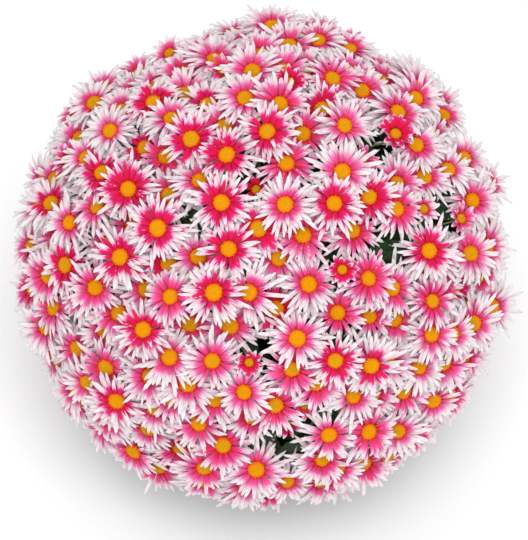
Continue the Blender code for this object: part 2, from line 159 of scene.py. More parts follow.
@dataclass
class BloomRule:
    """The rule that spreads the blooms over the ball and seats them clear of each other."""

    # The ball: its size, how far down the blooms go, and which share of them is above its waist.
    centre: Array = field(default_factory=lambda: np.array(BALL_CENTRE))
    sphere: float = 0.2015
    lowest_sine: float = math.sin(math.radians(-36))
    upper_share: float = 0.70

    # The spread of the blooms over it: jittered places, pushed apart in several passes.
    count: int = 345
    seed: int = 11
    jitter: float = 0.0075
    nearest: float = 0.0285
    passes: int = 12
    push_share: float = 0.5

    # The way they face: a share of the way to the light, and then a lean of their own.
    light: Array = field(
        default_factory=lambda: np.array([0.0, -math.cos(LIGHT_HEIGHT), math.sin(LIGHT_HEIGHT)])
    )
    turn_share: float = 0.50
    most_turn: float = math.radians(42)
    most_tilt: float = math.radians(15)

    # Their sizes and looks: deep ones are more frequent on the outer layers, and rarer in shade,
    # as painted light that makes the ball's shaded side paler.
    open_radius: tuple[float, float] = (0.0240, 0.0275)
    half_open_radius: tuple[float, float] = (0.014, 0.018)
    half_open_share: float = 0.12
    outer_layers: float = 1.5
    deep_share: float = 0.58
    hidden_deep_share: float = 0.22
    painted_light_deep: float = 1.40
    most_shade: float = 0.7
    deep_tone: tuple[float, float] = (0.9, 1.0)
    soft_tone: tuple[float, float] = (0.0, 0.45)

    # Their seats: layers that are tried inwards, with less lean and then less size each time.
    layers: int = 8
    layer_depth: float = 0.0028
    steadyings: tuple[float, ...] = (1.0, 0.6, 0.25)
    shrinks: tuple[float, ...] = (1.0, 0.9, 0.8, 0.7)

    # The room that each one needs, from its cup up to its disc, and the points that are tried.
    clearance: float = 0.0006
    cup_depth: float = 0.0042
    disc_height: float = 0.0030
    half_open_lift: float = 0.0045
    sample_rings: tuple[tuple[float, int], ...] = ((0.0, 1), (0.45, 8), (0.8, 12), (1.0, 16))

    def spiral(self, count: int, lowest_sine: float) -> Array:
        """Spread directions over the ball from its crown down, more thinly below its waist.

        Args:
            count: How many directions.
            lowest_sine: Sine of the latitude where the spiral ends.

        Returns:
            Unit vectors, one a row.
        """
        steps = (np.arange(count) + 0.5) / count
        sine = np.interp(steps, (0.0, self.upper_share, 1.0), (1.0, 0.0, lowest_sine))
        reach = np.sqrt(1.0 - sine**2)
        turn = np.arange(count) * GOLDEN_TURN
        return np.stack([reach * np.cos(turn), reach * np.sin(turn), sine], axis=1)

    def scattered(self, draw: random.Random) -> Array:
        """Move each direction of the spiral a little, and close pairs apart again.

        Args:
            draw: Source of the random moves.

        Returns:
            Unit vectors, one a row.
        """
        directions = self.spiral(self.count, self.lowest_sine)
        for i, direction in enumerate(directions):
            across, along = side_axes(direction)
            shift = across * draw.uniform(-1, 1) + along * draw.uniform(-1, 1)
            directions[i] = direction + shift * self.jitter / self.sphere
        nearest = self.nearest / self.sphere
        for _ in range(self.passes):
            directions /= np.linalg.norm(directions, axis=1, keepdims=True)
            apart = directions[:, None] - directions[None]
            distance = np.linalg.norm(apart, axis=2) + np.eye(self.count)
            push = np.clip(nearest - distance, 0.0, None)
            pushes = apart / distance[..., None] * push[..., None]
            directions += pushes.sum(axis=1) * self.push_share
        return directions / np.linalg.norm(directions, axis=1, keepdims=True)

    def turned_to_light(self, direction: Array) -> Array:
        """Turn a direction part of the way to the light, as a bloom turns before its own lean.

        Args:
            direction: Unit vector outwards from the ball.

        Returns:
            The turned unit vector.
        """
        turn = min(math.acos(direction @ self.light) * self.turn_share, self.most_turn)
        across = self.light - direction * (direction @ self.light)
        return direction * math.cos(turn) + across / np.linalg.norm(across) * math.sin(turn)

    @staticmethod
    def facing(direction: Array, twist: float, tilt: float, tilt_turn: float) -> Array:
        """Work out the axes of a bloom that faces along a direction.

        Args:
            direction: Unit vector outwards from the ball.
            twist: Turn about the way it faces.
            tilt: Lean away from the direction.
            tilt_turn: Which way it leans.

        Returns:
            The axes as columns, the last the way it faces.
        """
        across, along = side_axes(direction)
        lean = across * math.cos(tilt_turn) + along * math.sin(tilt_turn)
        normal = direction * math.cos(tilt) + lean * math.sin(tilt)
        across, along = side_axes(normal)
        first = across * math.cos(twist) + along * math.sin(twist)
        return np.stack([first, np.cross(normal, first), normal], axis=1)

    def samples(self) -> Array:
        """List points over a bloom of radius 1 as x, y and share of the radius."""
        points = []
        for share, count in self.sample_rings:
            for i in range(count):
                turn = 2 * math.pi * i / count
                points.append((share * math.cos(turn), share * math.sin(turn), share))
        return np.array(points)

    def one_side(self, upper: Bloom, lower: Bloom, samples: Array) -> bool:
        """Tell whether a bloom, where it reaches over another, lies on one side of it.

        Args:
            upper: The bloom whose points are tried.
            lower: The bloom that they are tried against.
            samples: Points over a bloom of radius 1.

        Returns:
            Whether all its points lie above the other, or all below.
        """
        points = upper.centre + samples[:, :2] @ upper.axes[:, :2].T * upper.radius
        local = (points - lower.centre) @ lower.axes
        share = np.hypot(local[:, 0], local[:, 1]) / (lower.radius + self.clearance)
        over = share < 1.0
        thin = 1.0 - samples[over, 2]
        thin_other = 1.0 - share[over]
        height = local[over, 2]
        lift = self.half_open_lift * (upper.half_open or lower.half_open)
        gap = self.clearance + lift
        above = height - self.cup_depth * thin > self.disc_height * thin_other + gap
        below = height + self.disc_height * thin < -self.cup_depth * thin_other - gap
        return bool(above.all() or below.all())

    def is_clear(self, bloom: Bloom, others: list[Bloom], samples: Array) -> bool:
        """Tell whether a bloom crosses none of the others.

        Args:
            bloom: The bloom to try.
            others: Those already seated.
            samples: Points over a bloom of radius 1.

        Returns:
            Whether it clears them all.
        """
        for other in others:
            reach = bloom.radius + other.radius + self.clearance
            if np.linalg.norm(bloom.centre - other.centre) > reach:
                continue
            if not self.one_side(bloom, other, samples):
                return False
            if not self.one_side(other, bloom, samples):
                return False
        return True

    def seat(
        self, direction: Array, draw: random.Random, seated: list[Bloom], samples: Array
    ) -> Bloom | None:
        """Find the outermost clear place for a bloom, with its fullest tilt and size.

        Args:
            direction: Where on the ball it stands.
            draw: Source of its size, twist and tilt.
            seated: Blooms already in place.
            samples: Points over a bloom of radius 1.

        Returns:
            The bloom, or None where no place is clear.
        """
        half_open = draw.random() < self.half_open_share
        kind = BloomKind.HALF_OPEN if half_open else BloomKind.SOFT
        radius = draw.uniform(*(self.half_open_radius if half_open else self.open_radius))
        twist = draw.uniform(0, 2 * math.pi)
        tilt = self.most_tilt * math.sqrt(draw.random())
        tilt_turn = draw.uniform(0, 2 * math.pi)
        outwards = self.turned_to_light(direction)
        for shrink in self.shrinks:
            for steadying in self.steadyings:
                axes = self.facing(outwards, twist, tilt * steadying, tilt_turn)
                for layer in range(self.layers):
                    reach = self.sphere - layer * self.layer_depth
                    centre = self.centre + direction * reach
                    bloom = Bloom(centre, axes, radius * shrink, kind)
                    if self.is_clear(bloom, seated, samples):
                        return bloom
        return None

    def shade(self, bloom: Bloom) -> float:
        """Say how far from the light a bloom stands: 0 towards it, up to the most shade."""
        outwards = bloom.centre - self.centre
        facing = float(outwards @ self.light) / float(np.linalg.norm(outwards))
        return min(1.0 - facing, self.most_shade)

    def blooms(self) -> list[Bloom]:
        """Seat every bloom, then draw each one's look.

        Returns:
            The blooms, from the crown down.
        """
        draw = random.Random(self.seed)
        samples = self.samples()
        seated: list[Bloom] = []
        for direction in self.scattered(draw):
            bloom = self.seat(direction, draw, seated, samples)
            if bloom is not None:
                seated.append(bloom)
        looks = random.Random(self.seed + 1)
        for number, bloom in enumerate(seated):
            bloom.seed = number
            sunk = self.sphere - float(np.linalg.norm(bloom.centre - self.centre))
            outer = sunk < self.outer_layers * self.layer_depth
            share = self.deep_share if outer else self.hidden_deep_share
            # Painted light: blooms turned from the light are less often deep, and so paler.
            deep = looks.random() < share * (1.0 - self.painted_light_deep * self.shade(bloom))
            bloom.tone = looks.uniform(*(self.deep_tone if deep else self.soft_tone))
            if deep and not bloom.half_open:
                bloom.kind = BloomKind.DEEP
        return seated


@dataclass
class Shoot:
    """A leafy shoot.

    Attributes:
        number: Its number, from 1.
        direction: The way it grows.
        stem_path: Points along its main stem.
        blooms: The blooms that it bears.
        roots: Where the stalk of each bloom leaves the stem.
    """

    number: int
    direction: Array
    stem_path: Array
    blooms: list[Bloom]
    roots: list[Array]

    @property
    def node(self) -> str:
        """Name of the solid that this shoot's pieces stand for."""
        return f"shoot_{self.number:02d}"


@dataclass
class ShootRule:
    """The rule for the shoots: where each leaves the soil, how it arches, and what it bears."""

    count: int = 24
    lowest_sine: float = math.sin(math.radians(-27))

    # The stem: its foot in the soil, its arch, its straight end and the part that bears stalks.
    foot_depth: float = 0.015
    hole_spread: float = 0.064
    arch_handle: float = 0.040
    arch_steps: int = 15
    straight: tuple[float, float] = (0.118, 0.170)
    forks: tuple[float, float] = (0.122, 0.166)

    # The soil that it stands in, slightly crowned.
    soil_edge: float = 0.128
    soil_crown: float = 0.003
    soil_radius: float = 0.0923

    def soil_top(self, reach: float) -> float:
        """Height of the slightly crowned soil at a distance from the pot's axis."""
        return self.soil_edge + self.soil_crown * (1.0 - reach / self.soil_radius)

    def hole(self, index: int) -> tuple[float, float]:
        """Distance and turn about the pot's axis where a shoot leaves the soil."""
        return self.hole_spread * math.sqrt((index + 0.5) / self.count), index * GOLDEN_TURN

    @staticmethod
    def arch(start: Array, first: Array, second: Array, end: Array, count: int) -> Array:
        """Read points along a cubic curve.

        Args:
            start: First point.
            first: Handle of the first point.
            second: Handle of the last point.
            end: Last point.
            count: How many points.

        Returns:
            The points, one a row.
        """
        shares = np.linspace(0.0, 1.0, count)[:, None]
        rest = 1.0 - shares
        return (
            rest**3 * start
            + 3 * rest**2 * shares * first
            + 3 * rest * shares**2 * second
            + shares**3 * end
        )

    def stem_path(self, index: int, direction: Array, centre: Array) -> Array:
        """Trace a shoot's main stem, up out of the soil and then out along its direction.

        Args:
            index: The shoot's place in order, from 0.
            direction: The way it grows.
            centre: Middle of the ball.

        Returns:
            Points along it, one a row.
        """
        reach, turn = self.hole(index)
        top = np.array([reach * math.cos(turn), reach * math.sin(turn), self.soil_top(reach)])
        foot = top - UP * self.foot_depth
        low, high = (centre + direction * distance for distance in self.straight)
        first, second = top + UP * self.arch_handle, low - direction * self.arch_handle
        arch = self.arch(top, first, second, low, self.arch_steps)
        return np.vstack([foot, arch, high])

    def shoots(self, rule: BloomRule, blooms: list[Bloom]) -> list[Shoot]:
        """Share the blooms out among the shoots.

        Args:
            rule: The rule that seated the blooms.
            blooms: All the blooms.

        Returns:
            The shoots, each with the blooms nearest to its direction.
        """
        directions = rule.spiral(self.count, self.lowest_sine)
        owners = [int(np.argmax(directions @ (bloom.centre - rule.centre))) for bloom in blooms]
        made = []
        for index, direction in enumerate(directions):
            own = [bloom for bloom, owner in zip(blooms, owners) if owner == index]
            path = self.stem_path(index, direction, rule.centre)
            roots = self.roots(own, direction, rule.centre)
            made.append(Shoot(index + 1, direction, path, own, roots))
        return made

    def roots(self, blooms: list[Bloom], direction: Array, centre: Array) -> list[Array]:
        """Place the stalks' roots one above the other: the wider a bloom stands, the lower.

        Args:
            blooms: The shoot's blooms.
            direction: The way the shoot grows.
            centre: Middle of the ball.

        Returns:
            One point for each bloom, on the main stem.
        """
        towards = [bloom.centre - centre for bloom in blooms]
        cosines = [float(line @ direction) / np.linalg.norm(line) for line in towards]
        stations = np.linspace(*self.forks, len(blooms))
        roots: list[Array] = [centre] * len(blooms)
        for station, i in zip(stations, np.argsort(cosines)):
            roots[i] = centre + direction * station
        return roots


@dataclass
class Skin:
    """The surface of one piece, gathered part by part, with the values that its finish reads.

    Attributes:
        points: Groups of points.
        faces: Corner numbers of each face.
        places: Groups of places across and along, one for each point, from 0 to 1.
        looks: Groups of four painted values, one for each point.
        rims: Groups of marks, true for a point on a crisp edge.
        count: How many points have been gathered.
    """

    points: list[Array] = field(default_factory=list)
    faces: Faces = field(default_factory=list)
    places: list[Array] = field(default_factory=list)
    looks: list[Array] = field(default_factory=list)
    rims: list[Array] = field(default_factory=list)
    count: int = 0

    def add(
        self, points: Array, faces: Faces, places: Array, look: Array, rim: Array | None = None
    ) -> None:
        """Add one part.

        Args:
            points: Its points, one a row.
            faces: Its faces, as numbers of its own points.
            places: Across and along for each point.
            look: Four painted values, for the whole part or for each point.
            rim: Which of its points lie on a crisp edge.
        """
        first = self.count
        self.points.append(points)
        self.faces.extend([[first + corner for corner in face] for face in faces])
        self.places.append(places)
        self.looks.append(np.broadcast_to(look, (len(points), 4)))
        self.rims.append(np.zeros(len(points), bool) if rim is None else rim)
        self.count += len(points)

    def add_blade(self, blade: Blade, points: Array, look: tuple[float, float, float]) -> None:
        """Add a drawn blade, with three painted values of its own."""
        self.add(points, blade.faces, blade.places, blade.look(*look), blade.rim)

    def piece(self, name: str, material: bpy.types.Material) -> bpy.types.Object:
        """Make the gathered surface into a piece of the scene.

        Args:
            name: The piece's name.
            material: Its finish.

        Returns:
            The new object, linked to the scene.
        """
        mesh = bpy.data.meshes.new(name)
        mesh.from_pydata(np.concatenate(self.points), [], self.faces)
        corners = np.empty(len(mesh.loops), np.int32)
        mesh.loops.foreach_get("vertex_index", corners)
        places = np.concatenate(self.places)[corners]
        layer = mesh.uv_layers.new(name="place")
        layer.data.foreach_set("uv", places.astype(np.float32).ravel())
        looks = np.concatenate(self.looks)
        painted = mesh.color_attributes.new(name="look", type="FLOAT_COLOR", domain="POINT")
        painted.data.foreach_set("color", looks.astype(np.float32).ravel())
        ends = np.empty(2 * len(mesh.edges), np.int32)
        mesh.edges.foreach_get("vertices", ends)
        crisp = np.concatenate(self.rims)[ends.reshape(-1, 2)].all(axis=1)
        mesh.attributes.new("sharp_edge", "BOOLEAN", "EDGE").data.foreach_set("value", crisp)
        mesh.shade_smooth()
        mesh.materials.append(material)
        return linked(name, mesh)


@dataclass(frozen=True)
class Blade:
    """The form that petals and leaves share: a thin closed blade with raised edges.

    Attributes:
        stations: Shares of the length at which it is drawn.
        widths: Share of the full width at each station.
        sweep: How far its edges lie ahead of its middle at each station, as a share of the width.
        thickness: Thickness at the middle.
        cupping: How far its edges stand up, as a share of the half width, at base and tip.
        ridge: Height of a leaf's two ridges, as a share of the half width.
        top: Places across of a section's upper points, from edge to edge.
        ridge_at: Where across the ridges lie.
        curl_from: Share of the length from which its tip curls.
        curl_rate: How fast the curl grows from there.
        thinning: How much thinner it is at its tip, as a share of the thickness.
    """

    stations: tuple[float, ...]
    widths: tuple[float, ...]
    sweep: tuple[float, ...]
    thickness: float
    cupping: tuple[float, float]
    ridge: float = 0.0
    top: tuple[float, ...] = (-1.0, -0.5, 0.0, 0.5, 1.0)
    ridge_at: float = 0.5
    curl_from: float = 0.65
    curl_rate: float = 8.0
    thinning: float = 0.5

    @property
    def across(self) -> Array:
        """Places across of a section's points: the upper ones, then the one beneath."""
        return np.array([*self.top, 0.0])

    @property
    def sides(self) -> int:
        """How many points a section has."""
        return len(self.top) + 1

    @property
    def faces(self) -> Faces:
        """Faces of a blade, by the numbers of its points."""
        found = []
        sides = self.sides
        for row in range(len(self.stations) - 1):
            for k in range(sides):
                a, b = sides * row + k, sides * row + (k + 1) % sides
                found.append([a, a + sides, b + sides, b])
        last = sides * (len(self.stations) - 1)
        return [*found, list(range(sides)), [last + k for k in range(sides - 1, -1, -1)]]

    @property
    def rim(self) -> Array:
        """Which points lie on the blade's edge."""
        return np.tile(np.abs(self.across) == 1.0, len(self.stations))

    @property
    def places(self) -> Array:
        """Place of each point across and along, from 0 to 1."""
        along = np.repeat(self.stations, self.sides)
        return np.stack([np.tile(self.across / 2 + 0.5, len(self.stations)), along], axis=1)

    @property
    def underside(self) -> Array:
        """How far each point belongs to the underside: 0 on top, 0.5 on the edge and 1 below."""
        section = np.where(np.abs(self.across) == 1.0, 0.5, 0.0)
        section[-1] = 1.0
        return np.tile(section, len(self.stations))

    def look(self, first: float, second: float, chance: float) -> Array:
        """Paint three values on every point, and its share in the underside as the fourth."""
        under = self.underside
        return np.stack([*(np.full_like(under, v) for v in (first, second, chance)), under], axis=1)

    def shape(self, length: float, width: float, pose: BladePose) -> Array:
        """Draw the blade from its base, outwards along X, with its face towards +Z.

        Args:
            length: Its length.
            width: Its full width.
            pose: How it rises, bends and twists.

        Returns:
            Its points, station by station.
        """
        along = np.array(self.stations)
        half = np.array(self.widths) * width / 2
        past = np.clip(along - self.curl_from, 0.0, None)
        slope = pose.rise - pose.bend * along - pose.curl * past**2 * self.curl_rate
        middle = (slope + np.concatenate([slope[:1], slope[:-1]])) / 2
        step = np.diff(along, prepend=0.0) * length
        out = np.cumsum(np.cos(middle) * step)
        up = np.cumsum(np.sin(middle) * step)
        swing = pose.swing * length * along**2
        across = self.across
        cup = np.linspace(*self.cupping, len(along))
        ridges = np.outer(half * self.ridge, np.abs(across) == self.ridge_at)
        raised = np.outer(half * cup, across**2) + ridges
        raised[:, -1] = -self.thickness * (1.0 - self.thinning * along)
        turn = (pose.twist * along)[:, None]
        wide = np.outer(half, across)
        side = swing[:, None] + wide * np.cos(turn) - raised * np.sin(turn)
        proud = wide * np.sin(turn) + raised * np.cos(turn)
        ahead = np.outer(np.array(self.sweep) * width, np.abs(across))
        sine, cosine = np.sin(slope)[:, None], np.cos(slope)[:, None]
        x = out[:, None] - proud * sine + ahead * cosine
        z = up[:, None] + proud * cosine + ahead * sine
        return np.stack([x, side, z], axis=2).reshape(-1, 3)


@dataclass(frozen=True)
class BladePose:
    """How one blade rises from its base, bends down, twists, swings aside and curls at its tip."""

    rise: float
    bend: float = 0.0
    twist: float = 0.0
    swing: float = 0.0
    curl: float = 0.0


def tube(path: Array, radii: Array, sides: int) -> tuple[Array, Faces, Array]:
    """Draw a closed round tube along a path.

    Args:
        path: Points along its middle.
        radii: Its radius at each point.
        sides: How many sides it has.

    Returns:
        Its points, its faces and its places across and along.
    """
    heading = np.gradient(path, axis=0)
    heading /= np.linalg.norm(heading, axis=1, keepdims=True)
    first = side_axes(heading[0])[0]
    turns = even_turns(sides)
    rings = []
    for point, forward, radius in zip(path, heading, radii):
        first = first - forward * (first @ forward)
        first /= np.linalg.norm(first)
        second = np.cross(forward, first)
        ring = np.outer(np.cos(turns), first) + np.outer(np.sin(turns), second)
        rings.append(point + radius * ring)
    rows = len(path)
    across = np.tile(np.arange(sides) / sides, rows)
    along = np.repeat(np.linspace(0, 1, rows), sides)
    return np.vstack(rings), lofted(rows, sides), np.stack([across, along], axis=1)


def lofted(rows: int, sides: int) -> Faces:
    """List the faces of a closed skin over rings, with a cap at each end.

    Args:
        rows: How many rings.
        sides: Points in each ring.

    Returns:
        The faces, by the numbers of their points.
    """
    faces = []
    for row in range(rows - 1):
        for k in range(sides):
            a, b = sides * row + k, sides * row + (k + 1) % sides
            faces.append([a, b, b + sides, a + sides])
    last = sides * (rows - 1)
    return [*faces, list(range(sides - 1, -1, -1)), [last + k for k in range(sides)]]


class Shading:
    """A material's nodes, with short calls for those that the finishes share."""

    def __init__(self, name: str) -> None:
        """Start a material with its shader.

        Args:
            name: The material's name.
        """
        self.material = bpy.data.materials.new(name)
        self.material.use_nodes = True
        self.tree = self.material.node_tree
        self.shader = self.tree.nodes["Principled BSDF"]

    def feed(self, socket: Socket, value: Value) -> None:
        """Link a socket to another, or set its own value."""
        if isinstance(value, bpy.types.NodeSocket):
            self.tree.links.new(value, socket)
        elif socket.type == "RGBA":
            socket.default_value = (*value, 1.0)
        else:
            socket.default_value = value

    def math(self, operation: str, first: Value, second: Value = 0.0) -> Socket:
        """Add a sum of one or two values.

        Args:
            operation: Name of the sum.
            first: First value.
            second: Second value.

        Returns:
            The result.
        """
        node = self.tree.nodes.new("ShaderNodeMath")
        node.operation = operation
        self.feed(node.inputs[0], first)
        self.feed(node.inputs[1], second)
        return node.outputs[0]

    def times(self, first: Value, second: Value) -> Socket:
        """Multiply two values."""
        return self.math("MULTIPLY", first, second)

    def total(self, *values: Value) -> Socket:
        """Add several values up."""
        result = values[0]
        for value in values[1:]:
            result = self.math("ADD", result, value)
        return result

    def spread(self, value: Socket, width: float) -> Socket:
        """Turn a value from 0 to 1 into one of a given width round 0."""
        return self.times(self.math("SUBTRACT", value, 0.5), width)

    def rest(self, value: Value) -> Socket:
        """Take a value from 1."""
        return self.math("SUBTRACT", 1.0, value)

    def aside(self, across: Socket) -> Socket:
        """Turn a place across into the distance from the middle, 1 at either edge."""
        return self.math("ABSOLUTE", self.spread(across, 2.0))

    def step(self, value: Socket, low: float, high: float) -> Socket:
        """Rise smoothly from 0 to 1.

        Args:
            value: The value to read.
            low: Where the rise starts.
            high: Where it ends.

        Returns:
            The smooth step.
        """
        node = self.tree.nodes.new("ShaderNodeMapRange")
        node.interpolation_type = "SMOOTHSTEP"
        self.feed(node.inputs["Value"], value)
        self.feed(node.inputs["From Min"], low)
        self.feed(node.inputs["From Max"], high)
        return node.outputs["Result"]

    def ramp(self, share: Socket, stops: Stops) -> Socket:
        """Read a colour from a row of stops.

        Args:
            share: Where to read, from 0 to 1.
            stops: Places and colours.

        Returns:
            The colour.
        """
        node = self.tree.nodes.new("ShaderNodeValToRGB")
        elements = node.color_ramp.elements
        while len(elements) < len(stops):
            elements.new(1.0)
        for element, (place, colour) in zip(elements, stops):
            element.position = place
            element.color = (*colour, 1.0)
        self.feed(node.inputs["Fac"], share)
        return node.outputs["Color"]

    def mix(self, share: Value, first: Value, second: Value, way: str = "MIX") -> Socket:
        """Mix two colours.

        Args:
            share: How far to go to the second.
            first: First colour.
            second: Second colour.
            way: How the second is laid over the first.

        Returns:
            The mixed colour.
        """
        node = self.tree.nodes.new("ShaderNodeMix")
        node.data_type = "RGBA"
        node.blend_type = way
        # The node has sockets for each kind of value: these are the ones for colours.
        self.feed(node.inputs[0], share)
        self.feed(node.inputs[6], first)
        self.feed(node.inputs[7], second)
        return node.outputs[2]

    def grey(self, value: Socket) -> Socket:
        """Turn a value into a grey."""
        node = self.tree.nodes.new("ShaderNodeCombineColor")
        for socket in node.inputs[:3]:
            self.feed(socket, value)
        return node.outputs[0]

    def painted(self) -> tuple[Socket, Socket, Socket, Socket]:
        """Read the four values painted on the surface."""
        look = self.tree.nodes.new("ShaderNodeAttribute")
        look.attribute_name = "look"
        split = self.tree.nodes.new("ShaderNodeSeparateColor")
        self.feed(split.inputs[0], look.outputs["Color"])
        return (*split.outputs[:3], look.outputs["Alpha"])

    def place(self) -> tuple[Socket, Socket, Socket]:
        """Read the place on the surface: the whole vector, across and along."""
        layer = self.tree.nodes.new("ShaderNodeUVMap")
        layer.uv_map = "place"
        split = self.tree.nodes.new("ShaderNodeSeparateXYZ")
        self.feed(split.inputs[0], layer.outputs["UV"])
        return layer.outputs["UV"], split.outputs["X"], split.outputs["Y"]

    def solid_place(self) -> Socket:
        """Read the place in the object."""
        return self.tree.nodes.new("ShaderNodeTexCoord").outputs["Object"]

    def stretched(self, vector: Socket, scale: Triple, shift: Value = 0.0) -> Socket:
        """Scale a place by different amounts along its three axes, and shift it along the third.

        Args:
            vector: The place.
            scale: The three scales.
            shift: Added along the third axis.

        Returns:
            The new place.
        """
        node = self.tree.nodes.new("ShaderNodeMapping")
        node.inputs["Scale"].default_value = scale
        self.feed(node.inputs["Vector"], vector)
        joined = self.tree.nodes.new("ShaderNodeVectorMath")
        joined.operation = "ADD"
        offset = self.tree.nodes.new("ShaderNodeCombineXYZ")
        self.feed(offset.inputs["Z"], shift)
        self.feed(joined.inputs[0], node.outputs["Vector"])
        self.feed(joined.inputs[1], offset.outputs["Vector"])
        return joined.outputs["Vector"]

    def noise(self, vector: Socket, scale: float, detail: float = 2.0) -> Socket:
        """Add soft noise from 0 to 1."""
        node = self.tree.nodes.new("ShaderNodeTexNoise")
        node.inputs["Scale"].default_value = scale
        node.inputs["Detail"].default_value = detail
        self.feed(node.inputs["Vector"], vector)
        return node.outputs["Fac"]

    def finish(
        self, colour: Socket, height: Socket, depth: float, roughness: Value, **plain: float
    ) -> bpy.types.Material:
        """Join the colour, the relief and the gloss to the shader.

        Args:
            colour: Base colour.
            height: Relief, from 0 to 1.
            depth: Depth of the relief.
            roughness: Roughness.
            **plain: Values set on the shader's own sockets, with _ for a space.

        Returns:
            The finished material.
        """
        bump = self.tree.nodes.new("ShaderNodeBump")
        bump.inputs["Distance"].default_value = depth
        self.feed(bump.inputs["Height"], height)
        self.feed(self.shader.inputs["Normal"], bump.outputs["Normal"])
        self.feed(self.shader.inputs["Base Color"], colour)
        self.feed(self.shader.inputs["Roughness"], roughness)
        for name, value in plain.items():
            self.shader.inputs[name.replace("_", " ")].default_value = value
        return self.material


@dataclass(frozen=True)
class PetalFinish:
    """Silky petals: pink from the disc outwards, white at the tips, with fine lines along them.

    The painted values are the depth of the pink, how far in the white starts, chance, and the
    underside. The colours of the two kinds are read from how white the petal is at that place.

    Attributes:
        deep: Colours of a deep petal.
        soft: Colours of a soft one.
        deep_base: Colour beside the disc on a deep petal.
        soft_base: Colour beside the disc on a soft one.
        base_reach: Share of the length that the base colour fades over.
        edge_white: How much whiter the edges are.
        start_width: How much the painted start of the white counts.
        line_width: How much the lines along the petal count.
        line_scale: How close the broad lines stand across and along, and for each chance.
        fine_scale: The same for the fine lines.
        chance_shift: How far apart two petals read the lines.
        roughness: Roughness of the surface.
        relief: Depth of the fine lines.
        seam_shade: Dark crimson on the edges near the disc: painted shade between the petals.
        seam_shade_reach: Where along the petal that painted shade fades.
        seam_shade_share: How strong that painted shade is.
        least_light: Lightness of a petal by itself.
        chance_light: How much that differs among the petals.
        line_light: How much it differs with the fine lines.
        underside: Colours beneath, base to tip: a paler reverse, lit by painted light through it.
        painted_shine_through: Share of the upper colour mixed beneath, as painted light through the
            petal.
    """

    deep: Stops = (
        (0.00, linear(210, 9, 55)),
        (0.26, linear(210, 9, 84)),
        (0.41, linear(213, 15, 100)),
        (0.47, linear(223, 82, 145)),
        (0.54, linear(227, 158, 189)),
        (0.63, linear(227, 198, 208)),
        (1.00, linear(224, 217, 219)),
    )
    soft: Stops = (
        (0.00, linear(227, 55, 93)),
        (0.25, linear(227, 76, 141)),
        (0.42, linear(228, 105, 161)),
        (0.54, linear(229, 151, 189)),
        (0.66, linear(229, 194, 208)),
        (0.80, linear(227, 210, 214)),
        (1.00, linear(224, 217, 219)),
    )
    deep_base: Colour = linear(220, 30, 26)
    soft_base: Colour = linear(226, 54, 40)
    underside: Stops = (
        (0.0, linear(216, 168, 176)),
        (0.4, linear(229, 206, 214)),
        (1.0, linear(233, 230, 233)),
    )
    base_reach: float = 0.20
    edge_white: float = 0.10
    start_width: float = 0.3
    line_width: float = 0.18
    line_scale: Triple = (9.0, 1.2, 1.0)
    fine_scale: Triple = (26.0, 2.0, 1.0)
    chance_shift: float = 40.0
    seam_shade: Colour = linear(158, 7, 47)
    seam_shade_reach: tuple[float, float] = (0.05, 0.6)
    seam_shade_share: float = 0.65
    least_light: float = 0.9
    chance_light: float = 0.1
    line_light: float = 0.1
    painted_shine_through: float = 0.35
    roughness: float = 0.62
    relief: float = 0.0002

    def lines(self, shading: Shading, place: Socket, chance: Socket, scale: Triple) -> Socket:
        """Read the noise that runs along a petal as lines, different on each petal."""
        shift = shading.times(chance, self.chance_shift)
        return shading.noise(shading.stretched(place, scale, shift), 1.0)

    def material(self) -> bpy.types.Material:
        """Build the material."""
        shading = Shading("petals")
        tone, start, chance, under = shading.painted()
        place, across, along = shading.place()
        aside = shading.aside(across)
        edge = shading.times(aside, aside)
        broad = self.lines(shading, place, chance, self.line_scale)
        fine = self.lines(shading, place, chance, self.fine_scale)
        white = shading.total(
            along,
            shading.times(edge, self.edge_white),
            shading.spread(start, self.start_width),
            shading.spread(broad, self.line_width),
        )
        pink = shading.mix(tone, shading.ramp(white, self.soft), shading.ramp(white, self.deep))
        base = shading.mix(tone, self.soft_base, self.deep_base)
        pink = shading.mix(shading.step(along, 0.0, self.base_reach), base, pink)
        # Painted shade: the edges are darkened towards the disc, where the petals shade each other.
        inward = shading.rest(shading.step(along, *self.seam_shade_reach))
        seam_shade = shading.times(shading.times(edge, inward), self.seam_shade_share)
        pink = shading.mix(seam_shade, pink, self.seam_shade)
        light = shading.total(
            self.least_light,
            shading.times(chance, self.chance_light),
            shading.times(fine, self.line_light),
        )
        upper = shading.mix(1.0, pink, shading.grey(light), "MULTIPLY")
        # Painted light: some of the upper colour is mixed beneath, as if shining through the petal.
        below = shading.mix(self.painted_shine_through, shading.ramp(along, self.underside), pink)
        colour = shading.mix(shading.step(under, *UNDERSIDE_EDGE), upper, below)
        gloss = {"Specular_IOR_Level": 0.1, "Sheen_Weight": 0.02, "Sheen_Roughness": 0.5}
        return shading.finish(colour, fine, self.relief, self.roughness, **gloss)


